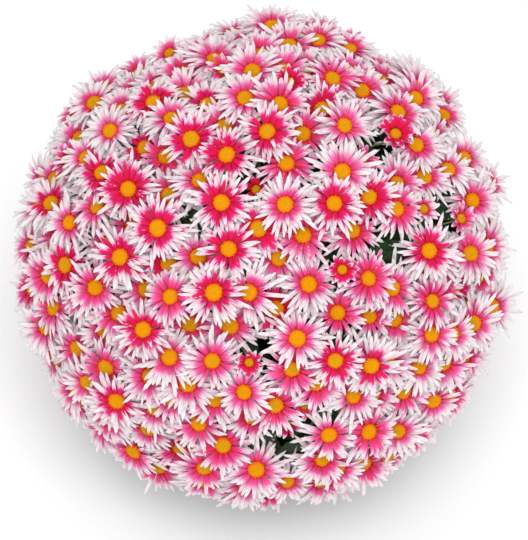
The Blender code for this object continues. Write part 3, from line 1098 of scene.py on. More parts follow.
@dataclass(frozen=True)
class DiscFinish:
    """Powdery orange discs, greener in the middle and rusty at the edge.

    The painted values are the height on a floret, greenness, chance, and share of the radius.
    The colour is darker low on the florets and on the dome: painted shade among the florets.
    """

    florets: Stops = (
        (0.0, linear(191, 122, 2)),
        (0.45, linear(227, 156, 2)),
        (0.8, linear(237, 170, 4)),
        (1.0, linear(246, 187, 11)),
    )
    green: Colour = linear(158, 156, 32)
    rust: Colour = linear(240, 82, 15)
    rust_from: float = 0.45
    rust_share: float = 0.6
    grain_scale: float = 2600.0
    grain_width: float = 0.35
    chance_width: float = 0.3
    mottle_scale: float = 500.0
    green_edge: tuple[float, float] = (0.3, 0.7)
    roughness: float = 0.85
    relief: float = 0.0002

    def material(self) -> bpy.types.Material:
        """Build the material."""
        shading = Shading("discs")
        height, green, chance, reach = shading.painted()
        solid = shading.solid_place()
        grains = shading.noise(solid, self.grain_scale)
        mottle = shading.noise(solid, self.mottle_scale)
        share = shading.total(
            height,
            shading.spread(chance, self.chance_width),
            shading.spread(grains, self.grain_width),
        )
        # Painted shade: the florets run from dark low down, among them, to light at their tips.
        colour = shading.ramp(share, self.florets)
        greenness = shading.times(green, shading.step(mottle, *self.green_edge))
        colour = shading.mix(greenness, colour, self.green)
        rusty = shading.times(shading.step(reach, self.rust_from, 1.0), self.rust_share)
        colour = shading.mix(rusty, colour, self.rust)
        return shading.finish(colour, grains, self.relief, self.roughness, Specular_IOR_Level=0.1)


@dataclass(frozen=True)
class LeafFinish:
    """Dark green leaves, paler beneath, with pale veins.

    Of the painted values, the first is yellowness, the third chance, and the fourth the underside.
    """

    top: Stops = (
        (0.0, linear(16, 36, 17)),
        (0.5, linear(28, 55, 26)),
        (1.0, linear(49, 80, 36)),
    )
    below: Colour = linear(89, 111, 78)
    vein: Colour = linear(76, 103, 57)
    vein_count: float = 5.0
    vein_slant: float = 0.22
    middle_vein: tuple[float, float] = (0.02, 0.10)
    side_vein: tuple[float, float] = (0.02, 0.09)
    side_strength: float = 0.6
    vein_share: float = 0.5
    vein_height: float = -0.5
    blotch_scale: float = 160.0
    blotch_share: float = 0.6
    chance_share: float = 0.25
    yellow_share: float = 0.3
    blister_scale: float = 700.0
    blister_height: float = 0.5
    roughness: float = 0.5
    relief: float = 0.0008

    def material(self) -> bpy.types.Material:
        """Build the material."""
        shading = Shading("leaves")
        yellow, _, chance, under = shading.painted()
        _, across, along = shading.place()
        aside = shading.aside(across)
        solid = shading.solid_place()
        blotch = shading.noise(solid, self.blotch_scale)
        blisters = shading.noise(solid, self.blister_scale)
        middle = shading.rest(shading.step(aside, *self.middle_vein))
        slanted = shading.math("SUBTRACT", along, shading.times(aside, self.vein_slant))
        waves = shading.math("PINGPONG", shading.times(slanted, self.vein_count), 0.5)
        side = shading.rest(shading.step(waves, *self.side_vein))
        veins = shading.math("MAXIMUM", middle, shading.times(side, self.side_strength))
        share = shading.total(
            shading.times(blotch, self.blotch_share),
            shading.times(chance, self.chance_share),
            shading.times(yellow, self.yellow_share),
        )
        veined = shading.times(veins, self.vein_share)
        colour = shading.mix(veined, shading.ramp(share, self.top), self.vein)
        colour = shading.mix(shading.step(under, *UNDERSIDE_EDGE), colour, self.below)
        height = shading.total(
            shading.times(veins, self.vein_height), shading.times(blisters, self.blister_height)
        )
        return shading.finish(colour, height, self.relief, self.roughness, Specular_IOR_Level=0.2)


@dataclass(frozen=True)
class StemFinish:
    """Ribbed green stems, browner near the soil, and green cups under the blooms.

    Of the painted values, the first is brownness and the third chance.
    """

    green: Colour = linear(97, 122, 62)
    pale: Colour = linear(139, 156, 93)
    brown: Colour = linear(101, 82, 53)
    rib_count: float = 6.0
    blotch_scale: float = 300.0
    blotch_share: float = 0.6
    chance_share: float = 0.3
    brown_edge: tuple[float, float] = (0.2, 0.6)
    roughness: float = 0.6
    relief: float = 0.0004

    def material(self) -> bpy.types.Material:
        """Build the material."""
        shading = Shading("stems")
        brown, _, chance, _ = shading.painted()
        _, across, _ = shading.place()
        ribs = shading.math("PINGPONG", shading.times(across, self.rib_count), 0.5)
        blotch = shading.noise(shading.solid_place(), self.blotch_scale)
        paleness = shading.total(
            shading.times(blotch, self.blotch_share), shading.times(chance, self.chance_share)
        )
        colour = shading.mix(paleness, self.green, self.pale)
        brownness = shading.times(brown, shading.step(blotch, *self.brown_edge))
        colour = shading.mix(brownness, colour, self.brown)
        return shading.finish(colour, ribs, self.relief, self.roughness, Specular_IOR_Level=0.3)


@dataclass(frozen=True)
class SoilFinish:
    """Damp dark potting soil, with a few pale grains.

    Of the painted values, the first is paleness and the third chance.
    """

    tones: Stops = (
        (0.0, linear(24, 17, 12)),
        (0.5, linear(52, 37, 26)),
        (1.0, linear(86, 66, 48)),
    )
    grain: Colour = linear(178, 170, 156)
    lump_scale: float = 320.0
    lump_detail: float = 5.0
    lump_share: float = 0.7
    fibre_scale: float = 1400.0
    fibre_detail: float = 3.0
    fibre_share: float = 0.3
    chance_width: float = 0.3
    roughness: float = 0.95
    relief: float = 0.0012

    def material(self) -> bpy.types.Material:
        """Build the material."""
        shading = Shading("soil")
        pale, _, chance, _ = shading.painted()
        solid = shading.solid_place()
        lumps = shading.noise(solid, self.lump_scale, self.lump_detail)
        fibres = shading.noise(solid, self.fibre_scale, self.fibre_detail)
        share = shading.total(
            shading.times(lumps, self.lump_share),
            shading.times(fibres, self.fibre_share),
            shading.spread(chance, self.chance_width),
        )
        colour = shading.mix(pale, shading.ramp(share, self.tones), self.grain)
        return shading.finish(colour, share, self.relief, self.roughness, Specular_IOR_Level=0.2)


@dataclass(frozen=True)
class PotFinish:
    """Black moulded plastic with a fine grain, faint scuffs, and dust low down."""

    black: Colour = linear(38, 39, 41)
    scuff: Colour = linear(74, 74, 73)
    dust: Colour = linear(104, 92, 78)
    dusty_height: float = 0.05
    dust_edge: tuple[float, float] = (0.35, 0.7)
    dust_share: float = 0.35
    grain_scale: float = 2400.0
    scuff_scale: Triple = (30.0, 30.0, 260.0)
    scuff_edge: tuple[float, float] = (0.56, 0.72)
    scuff_share: float = 0.4
    patch_scale: float = 24.0
    detail: float = 4.0
    roughness: float = 0.38
    patch_roughness: float = 0.16
    dust_roughness: float = 0.6
    relief: float = 0.00012

    def material(self) -> bpy.types.Material:
        """Build the material."""
        shading = Shading("pot_plastic")
        solid = shading.solid_place()
        grain = shading.noise(solid, self.grain_scale)
        scuffs = shading.noise(shading.stretched(solid, self.scuff_scale), 1.0, self.detail)
        patches = shading.noise(solid, self.patch_scale, self.detail)
        height = shading.tree.nodes.new("ShaderNodeSeparateXYZ")
        shading.feed(height.inputs[0], solid)
        low = shading.rest(shading.step(height.outputs["Z"], 0.0, self.dusty_height))
        scuffed = shading.times(shading.step(scuffs, *self.scuff_edge), self.scuff_share)
        colour = shading.mix(scuffed, self.black, self.scuff)
        dusty = shading.times(low, shading.step(patches, *self.dust_edge))
        dusty = shading.times(dusty, self.dust_share)
        colour = shading.mix(dusty, colour, self.dust)
        roughness = shading.total(
            self.roughness,
            shading.times(patches, self.patch_roughness),
            shading.times(dusty, self.dust_roughness),
        )
        return shading.finish(colour, grain, self.relief, roughness, Specular_IOR_Level=0.45)


@dataclass(frozen=True)
class FloorFinish:
    """A plain pale floor."""

    colour: Colour = (0.96, 0.96, 0.96)
    roughness: float = 0.9

    def material(self) -> bpy.types.Material:
        """Build the material."""
        shading = Shading("floor")
        shading.feed(shading.shader.inputs["Base Color"], self.colour)
        shading.feed(shading.shader.inputs["Roughness"], self.roughness)
        shading.feed(shading.shader.inputs["Specular IOR Level"], 0.0)
        return shading.material


@dataclass(frozen=True)
class PetalRow:
    """One ring of petals round a disc.

    Attributes:
        count: How many petals.
        root: Where they start, as a share of the bloom's radius.
        reach: Where their tips lie, as a share of the bloom's radius.
        lift: Height of their base.
        rise: How steeply they leave the disc.
        bend: How far they bend down along their length.
        width: Their width, as a share of the bloom's radius.
        white: How far in their white starts, against that of the whole bloom.
        low: Whether they lie low, under the neighbouring blooms.
    """

    count: int
    root: float
    reach: float
    lift: float
    rise: float
    bend: float
    width: float
    white: float = 0.0
    low: bool = False


@dataclass
class PetalWork:
    """Makes the petals of a shoot's blooms."""

    # The form of a petal, and a plainer one for those that lie low.
    blade: Blade = Blade(
        stations=(0.0, 0.24, 0.50, 0.73, 0.90, 1.0),
        widths=(0.60, 0.96, 1.0, 0.86, 0.56, 0.12),
        sweep=(0.0,) * 6,
        thickness=0.00035,
        cupping=(0.44, 0.18),
        top=(-1.0, 0.0, 1.0),
    )
    low_blade: Blade = Blade(
        stations=(0.0, 0.45, 0.82, 1.0),
        widths=(0.50, 1.0, 0.74, 0.08),
        sweep=(0.0,) * 4,
        thickness=0.00035,
        cupping=(0.45, 0.20),
        top=(-1.0, 0.0, 1.0),
    )

    # The rings of an open and of a half-open bloom, from the lowest.
    open_rows: tuple[PetalRow, ...] = (
        PetalRow(10, 0.32, 1.08, -0.0018, math.radians(2), math.radians(20), 0.140, 0.50, True),
        PetalRow(18, 0.20, 1.06, -0.0008, math.radians(8), math.radians(24), 0.130, 0.40),
        PetalRow(15, 0.21, 0.94, 0.0002, math.radians(17), math.radians(28), 0.128, -0.10),
        PetalRow(11, 0.23, 0.80, 0.0008, math.radians(28), math.radians(34), 0.120, -0.35),
    )
    half_open_rows: tuple[PetalRow, ...] = (
        PetalRow(11, 0.24, 1.0, 0.0, math.radians(32), math.radians(16), 0.26),
        PetalRow(7, 0.28, 0.82, 0.0008, math.radians(46), math.radians(14), 0.24),
    )

    # How the petals of a ring differ: in length and width against the ring's own, in their place
    # in it, and in how they rise, bend, twist, swing aside and curl. A few have fallen.
    length_range: tuple[float, float] = (0.93, 1.05)
    width_range: tuple[float, float] = (0.9, 1.12)
    turn_jitter: float = 0.28
    rise_spread: float = 0.07
    bend_spread: float = 0.12
    twist_spread: float = 0.28
    swing_spread: float = 0.07
    curl_range: tuple[float, float] = (-0.2, 0.5)
    lost_share: float = 0.03

    # A stray that stands up among the others, and the share of the blooms that have one.
    stray: PetalRow = PetalRow(1, 0.24, 0.78, 0.001, math.radians(44), math.radians(20), 0.12)
    stray_share: float = 0.30

    # How far a low petal tries to reach and how far its tip drops, so that it fills the gaps but
    # keeps off the middle of its neighbours: those within some of the bloom's radii.
    low_reaches: tuple[float, ...] = (1.34, 1.22)
    low_drop: float = 0.16
    disc_share: float = 0.45
    near_radii: float = 2.5

    # How far in the white starts: usually, and how much that differs among the blooms and then
    # among the petals of one, for deep blooms and for the others. It starts further in where the
    # bloom is shaded, as painted light that makes the ball's shaded side paler, and less far in
    # where it is half open.
    rule: BloomRule = field(default_factory=BloomRule)
    white: float = 0.25
    deep_spread: float = 0.18
    soft_spread: float = 0.30
    deep_uneven: float = 0.42
    soft_uneven: float = 0.26
    painted_light_white: float = 0.66
    half_open_white: float = 0.6
    white_seed: int = 1000

    def rows(self, bloom: Bloom) -> tuple[PetalRow, ...]:
        """Choose the rings of petals that a bloom has."""
        return self.half_open_rows if bloom.half_open else self.open_rows

    def add_petal(
        self, skin: Skin, bloom: Bloom, row: PetalRow, angle: float, draw: np.random.Generator
    ) -> None:
        """Add one petal.

        Args:
            skin: The surface that it joins.
            bloom: Its bloom.
            row: Its ring.
            angle: Its turn round the disc.
            draw: Source of its small differences.
        """
        length = bloom.radius * (row.reach - row.root) * draw.uniform(*self.length_range)
        pose = BladePose(
            rise=row.rise + draw.normal(0.0, self.rise_spread),
            bend=row.bend + draw.normal(0.0, self.bend_spread),
            twist=draw.normal(0.0, self.twist_spread),
            swing=draw.normal(0.0, self.swing_spread),
            curl=draw.uniform(*self.curl_range),
        )
        blade = self.low_blade if row.low else self.blade
        width = bloom.radius * row.width * draw.uniform(*self.width_range)
        points = blade.shape(length, width, pose)
        points = points + np.array([bloom.radius * row.root, 0.0, row.lift])
        points = bloom.to_plant(turned_about(points, angle))
        uneven = self.deep_uneven if bloom.kind is BloomKind.DEEP else self.soft_uneven
        start = self.white_start(bloom) + row.white + draw.normal(0.0, uneven)
        skin.add_blade(blade, points, (bloom.tone, start, draw.random()))

    def covers_disc(self, bloom: Bloom, angle: float, reach: float, others: list[Bloom]) -> bool:
        """Tell whether the tip of a low petal lies over another bloom's disc.

        Args:
            bloom: The petal's bloom.
            angle: Its turn round the disc.
            reach: Where its tip lies, as a share of the bloom's radius.
            others: The blooms round it.

        Returns:
            Whether it does.
        """
        outwards = np.array([math.cos(angle), math.sin(angle), -self.low_drop])
        tip = bloom.to_plant(outwards * bloom.radius * reach)
        places = [(tip - other.centre) @ other.axes for other in others]
        return any(
            math.hypot(place[0], place[1]) < self.disc_share * other.radius
            for place, other in zip(places, others)
        )

    def freed(self, bloom: Bloom, row: PetalRow, angle: float, others: list[Bloom]) -> PetalRow:
        """Let a low petal reach further where it covers no disc.

        Args:
            bloom: Its bloom.
            row: Its ring.
            angle: Its turn round the disc.
            others: The blooms round it.

        Returns:
            The ring, with a reach that suits this petal.
        """
        for reach in self.low_reaches:
            if not self.covers_disc(bloom, angle, reach, others):
                return replace(row, reach=reach)
        return row

    def white_start(self, bloom: Bloom) -> float:
        """Say how far in a bloom's petals turn white: further in where shaded, as painted light."""
        spread = self.deep_spread if bloom.kind is BloomKind.DEEP else self.soft_spread
        drawn = np.random.default_rng(self.white_seed + bloom.seed).normal(self.white, spread)
        # Painted light: the further the bloom is turned from the light, the paler its petals.
        shaded = self.painted_light_white * self.rule.shade(bloom)
        return drawn + shaded - self.half_open_white * bloom.half_open

    def add_bloom(self, skin: Skin, bloom: Bloom, blooms: list[Bloom]) -> None:
        """Add all the petals of one bloom.

        Args:
            skin: The surface that they join.
            bloom: The bloom.
            blooms: All the blooms.
        """
        draw = np.random.default_rng(bloom.seed)
        near = self.near_radii * bloom.radius
        others = [
            other
            for other in blooms
            if other is not bloom and np.linalg.norm(other.centre - bloom.centre) < near
        ]
        for number, row in enumerate(self.rows(bloom)):
            for i in range(row.count):
                if draw.random() < self.lost_share:
                    continue
                stray = draw.uniform(-self.turn_jitter, self.turn_jitter)
                angle = 2 * math.pi * (i + 0.5 * number + stray) / row.count
                fitted = self.freed(bloom, row, angle, others) if row.low else row
                self.add_petal(skin, bloom, fitted, angle, draw)
        if draw.random() < self.stray_share:
            self.add_petal(skin, bloom, self.stray, draw.uniform(0.0, 2 * math.pi), draw)


@dataclass
class DiscWork:
    """Makes the orange discs: a low dome set with florets."""

    # The dome: its radius as a share of the bloom's, and how that differs, then shares of the
    # disc's radius with heights, from the foot among the petals over the edge to the flat middle.
    radius_share: float = 0.288
    radius_range: tuple[float, float] = (0.94, 1.06)
    foot: tuple[float, float] = (0.9, -0.001)
    profile: tuple[tuple[float, float], ...] = (
        (1.0, 0.0003),
        (0.86, 0.0013),
        (0.58, 0.0021),
        (0.28, 0.0022),
    )
    top_share: float = 0.06
    middle: float = 0.0019
    sides: int = 12

    # The florets: half width and overlap against the room that each has, how far one leans
    # outwards against its distance from the middle, and how far its foot is sunk in the dome.
    floret_count: int = 44
    floret_first: float = 0.6
    floret_edge: float = 0.95
    floret_width: float = 0.62
    floret_crowding: float = 1.6
    floret_height: float = 0.0011
    floret_lean: float = 0.04
    floret_sink: float = 0.0004

    # What is painted: lightness on the dome and on a floret's foot and tip, darker low down as
    # painted shade among the florets, and greenness, for the half-open blooms and for a share of
    # the others.
    dome_shade_lightness: float = 0.25
    foot_shade_lightness: float = 0.3
    tip_light: tuple[float, float] = (0.75, 1.0)
    half_open_green: tuple[float, float] = (0.6, 1.0)
    green_share: float = 0.5
    most_green: float = 0.7
    seed: int = 5000

    def height(self, share: float) -> float:
        """Height of the dome at a share of its radius."""
        shares = [0.0, *(reach for reach, _ in reversed(self.profile))]
        heights = [self.middle, *(height for _, height in reversed(self.profile))]
        return float(np.interp(share, shares, heights))

    def add_dome(self, skin: Skin, bloom: Bloom, radius: float, green: float) -> None:
        """Add the dome under the florets.

        Args:
            skin: The surface that it joins.
            bloom: The bloom.
            radius: The disc's radius.
            green: How green its middle is.
        """
        turns = even_turns(self.sides)
        levels = [self.foot, *self.profile, (self.top_share, self.middle)]
        points = np.vstack([circle(turns, radius * share, height) for share, height in levels])
        reach = np.hypot(points[:, 0], points[:, 1]) / radius
        look = np.zeros((len(points), 4))
        # Painted shade: the dome between the florets is dark.
        look[:, 0], look[:, 1] = self.dome_shade_lightness, green * (1.0 - reach)
        look[:, 2], look[:, 3] = 0.5, reach
        faces = lofted(len(levels), self.sides)
        skin.add(bloom.to_plant(points), faces, np.zeros((len(points), 2)), look)

    def add_floret(self, skin: Skin, bloom: Bloom, spot: Triple, size: float, look: Array) -> None:
        """Add one floret, a small pointed bud.

        Args:
            skin: The surface that it joins.
            bloom: The bloom.
            spot: Its place on the disc, in the bloom's own frame.
            size: Its half width.
            look: Its four painted values, at the tip.
        """
        x, y, z = spot
        lean = np.array([x, y, 0.0]) * self.floret_lean
        corners = [(1, 0), (-0.5, 0.87), (-0.5, -0.87)]
        base = [(x + size * a, y + size * b, z - self.floret_sink) for a, b in corners]
        tip = np.array([x, y, z + self.floret_height]) + lean
        points = np.array([*base, tip])
        looks = np.tile(look, (4, 1))
        # Painted shade: the foot of a floret is darker than its tip.
        looks[:3, 0] = self.foot_shade_lightness
        faces = [[0, 1, 3], [1, 2, 3], [2, 0, 3], [2, 1, 0]]
        skin.add(bloom.to_plant(points), faces, np.zeros((4, 2)), looks)

    def add_bloom(self, skin: Skin, bloom: Bloom) -> None:
        """Add one disc.

        Args:
            skin: The surface that it joins.
            bloom: The bloom.
        """
        draw = np.random.default_rng(self.seed + bloom.seed)
        radius = bloom.radius * self.radius_share * draw.uniform(*self.radius_range)
        if bloom.half_open:
            green = draw.uniform(*self.half_open_green)
        else:
            green = draw.uniform(0.0, self.most_green) * (draw.random() < self.green_share)
        self.add_dome(skin, bloom, radius, green)
        size = self.floret_width * radius / math.sqrt(self.floret_count) * self.floret_crowding
        for i in range(self.floret_count):
            share = math.sqrt((i + self.floret_first) / self.floret_count) * self.floret_edge
            reach, turn = radius * share, i * GOLDEN_TURN
            spot = (reach * math.cos(turn), reach * math.sin(turn), self.height(share))
            light = draw.uniform(*self.tip_light)
            look = np.array([light, green * (1.0 - share), draw.random(), share])
            self.add_floret(skin, bloom, spot, size, look)


@dataclass
class StemWork:
    """Makes a shoot's main stem, its stalks and the green cups under its blooms."""

    # The main stem: its radius at foot and tip, and how soon it is green all through, going up.
    stem_radii: tuple[float, float] = (0.0025, 0.0019)
    stem_sides: int = 9
    brown_rate: float = 1.6

    # The stalks: the handles of their curve are shares of the way, at the stem and at the bloom.
    rule: ShootRule = field(default_factory=ShootRule)
    stalk_radius: float = 0.0009
    stalk_sides: int = 5
    stalk_steps: int = 7
    stalk_handles: tuple[float, float] = (0.22, 0.3)

    # The cups: radii and heights from the foot to the rim, for a bloom of the radius that they
    # fit, and a scallop that makes the points of the edge rise and fall above a certain height.
    cup_profile: tuple[tuple[float, float], ...] = (
        (0.0012, -0.0066),
        (0.0040, -0.0054),
        (0.0062, -0.0032),
        (0.0068, -0.0008),
    )
    cup_fits: float = 0.0257
    cup_sides: int = 10
    scallop: float = 0.0007
    scallop_from: float = -0.005
    seed: int = 9000

    def stalk_path(self, shoot: Shoot, bloom: Bloom, root: Array) -> Array:
        """Trace a stalk from the main stem to the cup of its bloom.

        Args:
            shoot: The shoot.
            bloom: The bloom that it carries.
            root: Where it leaves the stem.

        Returns:
            Points along it, one a row.
        """
        facing = bloom.axes[:, 2]
        end = bloom.centre + facing * self.cup_profile[0][1] * bloom.radius / self.cup_fits
        length = float(np.linalg.norm(end - root))
        first = root + shoot.direction * length * self.stalk_handles[0]
        second = end - facing * length * self.stalk_handles[1]
        return self.rule.arch(root, first, second, end, self.stalk_steps)

    def add_cup(self, skin: Skin, bloom: Bloom, chance: float) -> None:
        """Add the green cup that holds a bloom's petals.

        Args:
            skin: The surface that it joins.
            bloom: The bloom.
            chance: Its painted chance value.
        """
        sides, rows = self.cup_sides, len(self.cup_profile)
        turns = even_turns(sides)
        wave = np.where(np.arange(sides) % 2, -self.scallop, self.scallop)
        rings = [
            circle(turns, radius, height + wave * (height > self.scallop_from))
            for radius, height in self.cup_profile
        ]
        points = np.vstack(rings) * bloom.radius / self.cup_fits
        across = np.tile(np.arange(sides) / 2, rows)
        along = np.repeat(np.arange(rows) / (rows - 1), sides)
        look = np.array([0.0, 0.0, chance, 0.0])
        places = np.stack([across, along], axis=1)
        skin.add(bloom.to_plant(points), lofted(rows, sides), places, look)

    def add_shoot(self, skin: Skin, shoot: Shoot) -> None:
        """Add the stem, stalks and cups of one shoot.

        Args:
            skin: The surface that they join.
            shoot: The shoot.
        """
        path = shoot.stem_path
        radii = np.linspace(*self.stem_radii, len(path))
        points, faces, places = tube(path, radii, self.stem_sides)
        look = np.zeros((len(points), 4))
        look[:, 0] = np.clip(1.0 - places[:, 1] * self.brown_rate, 0.0, 1.0)
        look[:, 2] = 0.5
        skin.add(points, faces, places, look)
        for bloom, root in zip(shoot.blooms, shoot.roots):
            chance = random.Random(self.seed + bloom.seed).random()
            path = self.stalk_path(shoot, bloom, root)
            radii = np.full(len(path), self.stalk_radius)
            points, faces, places = tube(path, radii, self.stalk_sides)
            skin.add(points, faces, places, np.array([0.0, 0.0, chance, 0.0]))
            self.add_cup(skin, bloom, chance)


@dataclass
class LeafWork:
    """Makes a shoot's lobed leaves: on its stalks, and on a low shoot also beside the pot.

    The inner leaves stand deep in the plant, and the skirt is the leaves that hang beside the pot.
    """

    # Their form, plainer for the inner leaves, and the ranges of their sizes.
    blade: Blade = Blade(
        stations=(0.0, 0.14, 0.24, 0.34, 0.42, 0.52, 0.62, 0.70, 0.78, 0.88, 0.95, 1.0),
        widths=(0.06, 0.08, 0.48, 0.86, 0.46, 0.98, 1.0, 0.52, 0.74, 0.56, 0.30, 0.06),
        sweep=(0.0, 0.0, 0.05, 0.16, 0.02, 0.10, 0.16, 0.02, 0.08, 0.06, 0.02, 0.0),
        thickness=0.0005,
        cupping=(0.35, 0.25),
        ridge=0.10,
    )
    inner_blade: Blade = Blade(
        stations=(0.0, 0.20, 0.36, 0.50, 0.68, 0.84, 1.0),
        widths=(0.06, 0.56, 0.90, 0.60, 1.0, 0.66, 0.06),
        sweep=(0.0, 0.05, 0.12, 0.02, 0.12, 0.06, 0.0),
        thickness=0.0005,
        cupping=(0.35, 0.25),
        top=(-1.0, 0.0, 1.0),
    )
    length: tuple[float, float] = (0.032, 0.048)
    width_share: tuple[float, float] = (0.52, 0.66)

    # The ranges of their lift and bend, and the spread of their twist and swing.
    lift: tuple[float, float] = (0.0, 0.4)
    bend: tuple[float, float] = (0.3, 1.1)
    twist: float = 0.35
    swing: float = 0.10

    # On a stalk: where they grow, how steeply they rise from the ball's surface, and how far
    # from its centre their tips may be. One that reaches further is lowered step by step.
    centre: Array = field(default_factory=lambda: np.array(BALL_CENTRE))
    second_share: float = 0.45
    on_stalk: tuple[float, float] = (0.38, 0.86)
    rise: tuple[float, float] = (math.radians(5), math.radians(55))
    most_reach: float = 0.188
    rise_step: float = math.radians(5)
    lowest_rise: float = math.radians(-40)

    # How many places are tried for one, and the room that it leaves under a bloom.
    tries: int = 14
    clearance: float = 0.003
    cover: float = 0.9

    # The same for the inner leaves.
    inner_count: int = 2
    inner_on_stalk: tuple[float, float] = (0.05, 0.55)
    inner_rise: tuple[float, float] = (math.radians(-15), math.radians(30))
    inner_reach: float = 0.172

    # The skirt, on the shoots that point lower than its sine.
    skirt_sine: float = 0.12
    skirt_count: int = 5
    skirt_length: tuple[float, float] = (0.040, 0.054)
    skirt_drop: tuple[float, float] = (math.radians(15), math.radians(75))
    skirt_swing: float = math.radians(45)
    skirt_on_stem: tuple[float, float] = (0.62, 0.99)

    # The higher the yellowing, the fewer leaves are yellowish.
    yellowing: int = 3
    seed: int = 300

    def leaf(
        self,
        blade: Blade,
        base: Array,
        along: Array,
        face: Array,
        length: float,
        draw: random.Random,
    ) -> Array:
        """Draw one leaf.

        Args:
            blade: Its form.
            base: Where it grows from.
            along: The way it points.
            face: The way its upper side faces, roughly.
            length: Its length.
            draw: Source of its small differences.

        Returns:
            Its points, station by station.
        """
        side = np.cross(face, along)
        side /= np.linalg.norm(side)
        axes = np.stack([along, side, np.cross(along, side)], axis=1)
        pose = BladePose(
            rise=draw.uniform(*self.lift),
            bend=draw.uniform(*self.bend),
            twist=draw.gauss(0.0, self.twist),
            swing=draw.gauss(0.0, self.swing),
        )
        width = length * draw.uniform(*self.width_share)
        return blade.shape(length, width, pose) @ axes.T + base

    def add_leaf(self, skin: Skin, blade: Blade, points: Array, draw: random.Random) -> None:
        """Add a drawn leaf."""
        skin.add_blade(blade, points, (draw.random() ** self.yellowing, 0.0, draw.random()))

    def is_clear(self, points: Array, blooms: list[Bloom]) -> bool:
        """Tell whether a leaf stays under every bloom that it reaches.

        Args:
            points: The leaf's points.
            blooms: All the blooms.

        Returns:
            Whether none of its points crosses a bloom or covers one.
        """
        middle = points.mean(axis=0)
        for bloom in blooms:
            if np.linalg.norm(bloom.centre - middle) > bloom.radius + self.length[1]:
                continue
            x, y, height = ((points[::2] - bloom.centre) @ bloom.axes).T
            within = np.hypot(x, y) < bloom.radius * self.cover
            if (within & (height > -self.clearance) & (height < 2 * bloom.radius)).any():
                return False
        return True

    def add_stalk_leaf(
        self, skin: Skin, path: Array, inner: bool, blooms: list[Bloom], draw: random.Random
    ) -> None:
        """Add a leaf on a stalk, kept under the blooms.

        Args:
            skin: The surface that it joins.
            path: Points along the stalk.
            inner: Whether it stands deep in the plant.
            blooms: All the blooms.
            draw: Source of its place and its differences.
        """
        most_reach = self.inner_reach if inner else self.most_reach
        blade = self.inner_blade if inner else self.blade
        on_stalk = self.inner_on_stalk if inner else self.on_stalk
        rises = self.inner_rise if inner else self.rise
        for _ in range(self.tries):
            base = along_path(path, draw.uniform(*on_stalk))
            outward = (base - self.centre) / np.linalg.norm(base - self.centre)
            across, other = side_axes(outward)
            turn = draw.uniform(0, 2 * math.pi)
            out = across * math.cos(turn) + other * math.sin(turn)
            rise = draw.uniform(*rises)
            length = draw.uniform(*self.length)
            while True:
                along = outward * math.sin(rise) + out * math.cos(rise)
                reach = np.linalg.norm(base + along * length - self.centre)
                if rise <= self.lowest_rise or reach <= most_reach:
                    break
                rise -= self.rise_step
            points = self.leaf(blade, base, along, outward, length, draw)
            if self.is_clear(points, blooms):
                self.add_leaf(skin, blade, points, draw)
                return

    def add_skirt(self, skin: Skin, shoot: Shoot, draw: random.Random) -> None:
        """Add the leaves that hang beside the pot.

        Args:
            skin: The surface that they join.
            shoot: A low shoot.
            draw: Source of their places and differences.
        """
        for _ in range(self.skirt_count):
            base = along_path(shoot.stem_path, draw.uniform(*self.skirt_on_stem))
            swing = draw.uniform(-self.skirt_swing, self.skirt_swing)
            swing += math.atan2(base[1], base[0])
            drop = draw.uniform(*self.skirt_drop)
            out = np.array([math.cos(swing), math.sin(swing), 0.0])
            along = out * math.cos(drop) - UP * math.sin(drop)
            face = out * math.sin(drop) + UP * math.cos(drop)
            length = draw.uniform(*self.skirt_length)
            points = self.leaf(self.blade, base, along, face, length, draw)
            self.add_leaf(skin, self.blade, points, draw)

    def add_shoot(self, skin: Skin, shoot: Shoot, stems: StemWork, blooms: list[Bloom]) -> None:
        """Add the leaves of one shoot.

        Args:
            skin: The surface that they join.
            shoot: The shoot.
            stems: Maker of the stalks that carry them.
            blooms: All the blooms, which the leaves keep under.
        """
        draw = random.Random(self.seed + shoot.number)
        for bloom, root in zip(shoot.blooms, shoot.roots):
            path = stems.stalk_path(shoot, bloom, root)
            for _ in range(1 + (draw.random() < self.second_share)):
                self.add_stalk_leaf(skin, path, False, blooms, draw)
            for _ in range(self.inner_count):
                self.add_stalk_leaf(skin, path, True, blooms, draw)
        if shoot.direction[2] < self.skirt_sine:
            self.add_skirt(skin, shoot, draw)


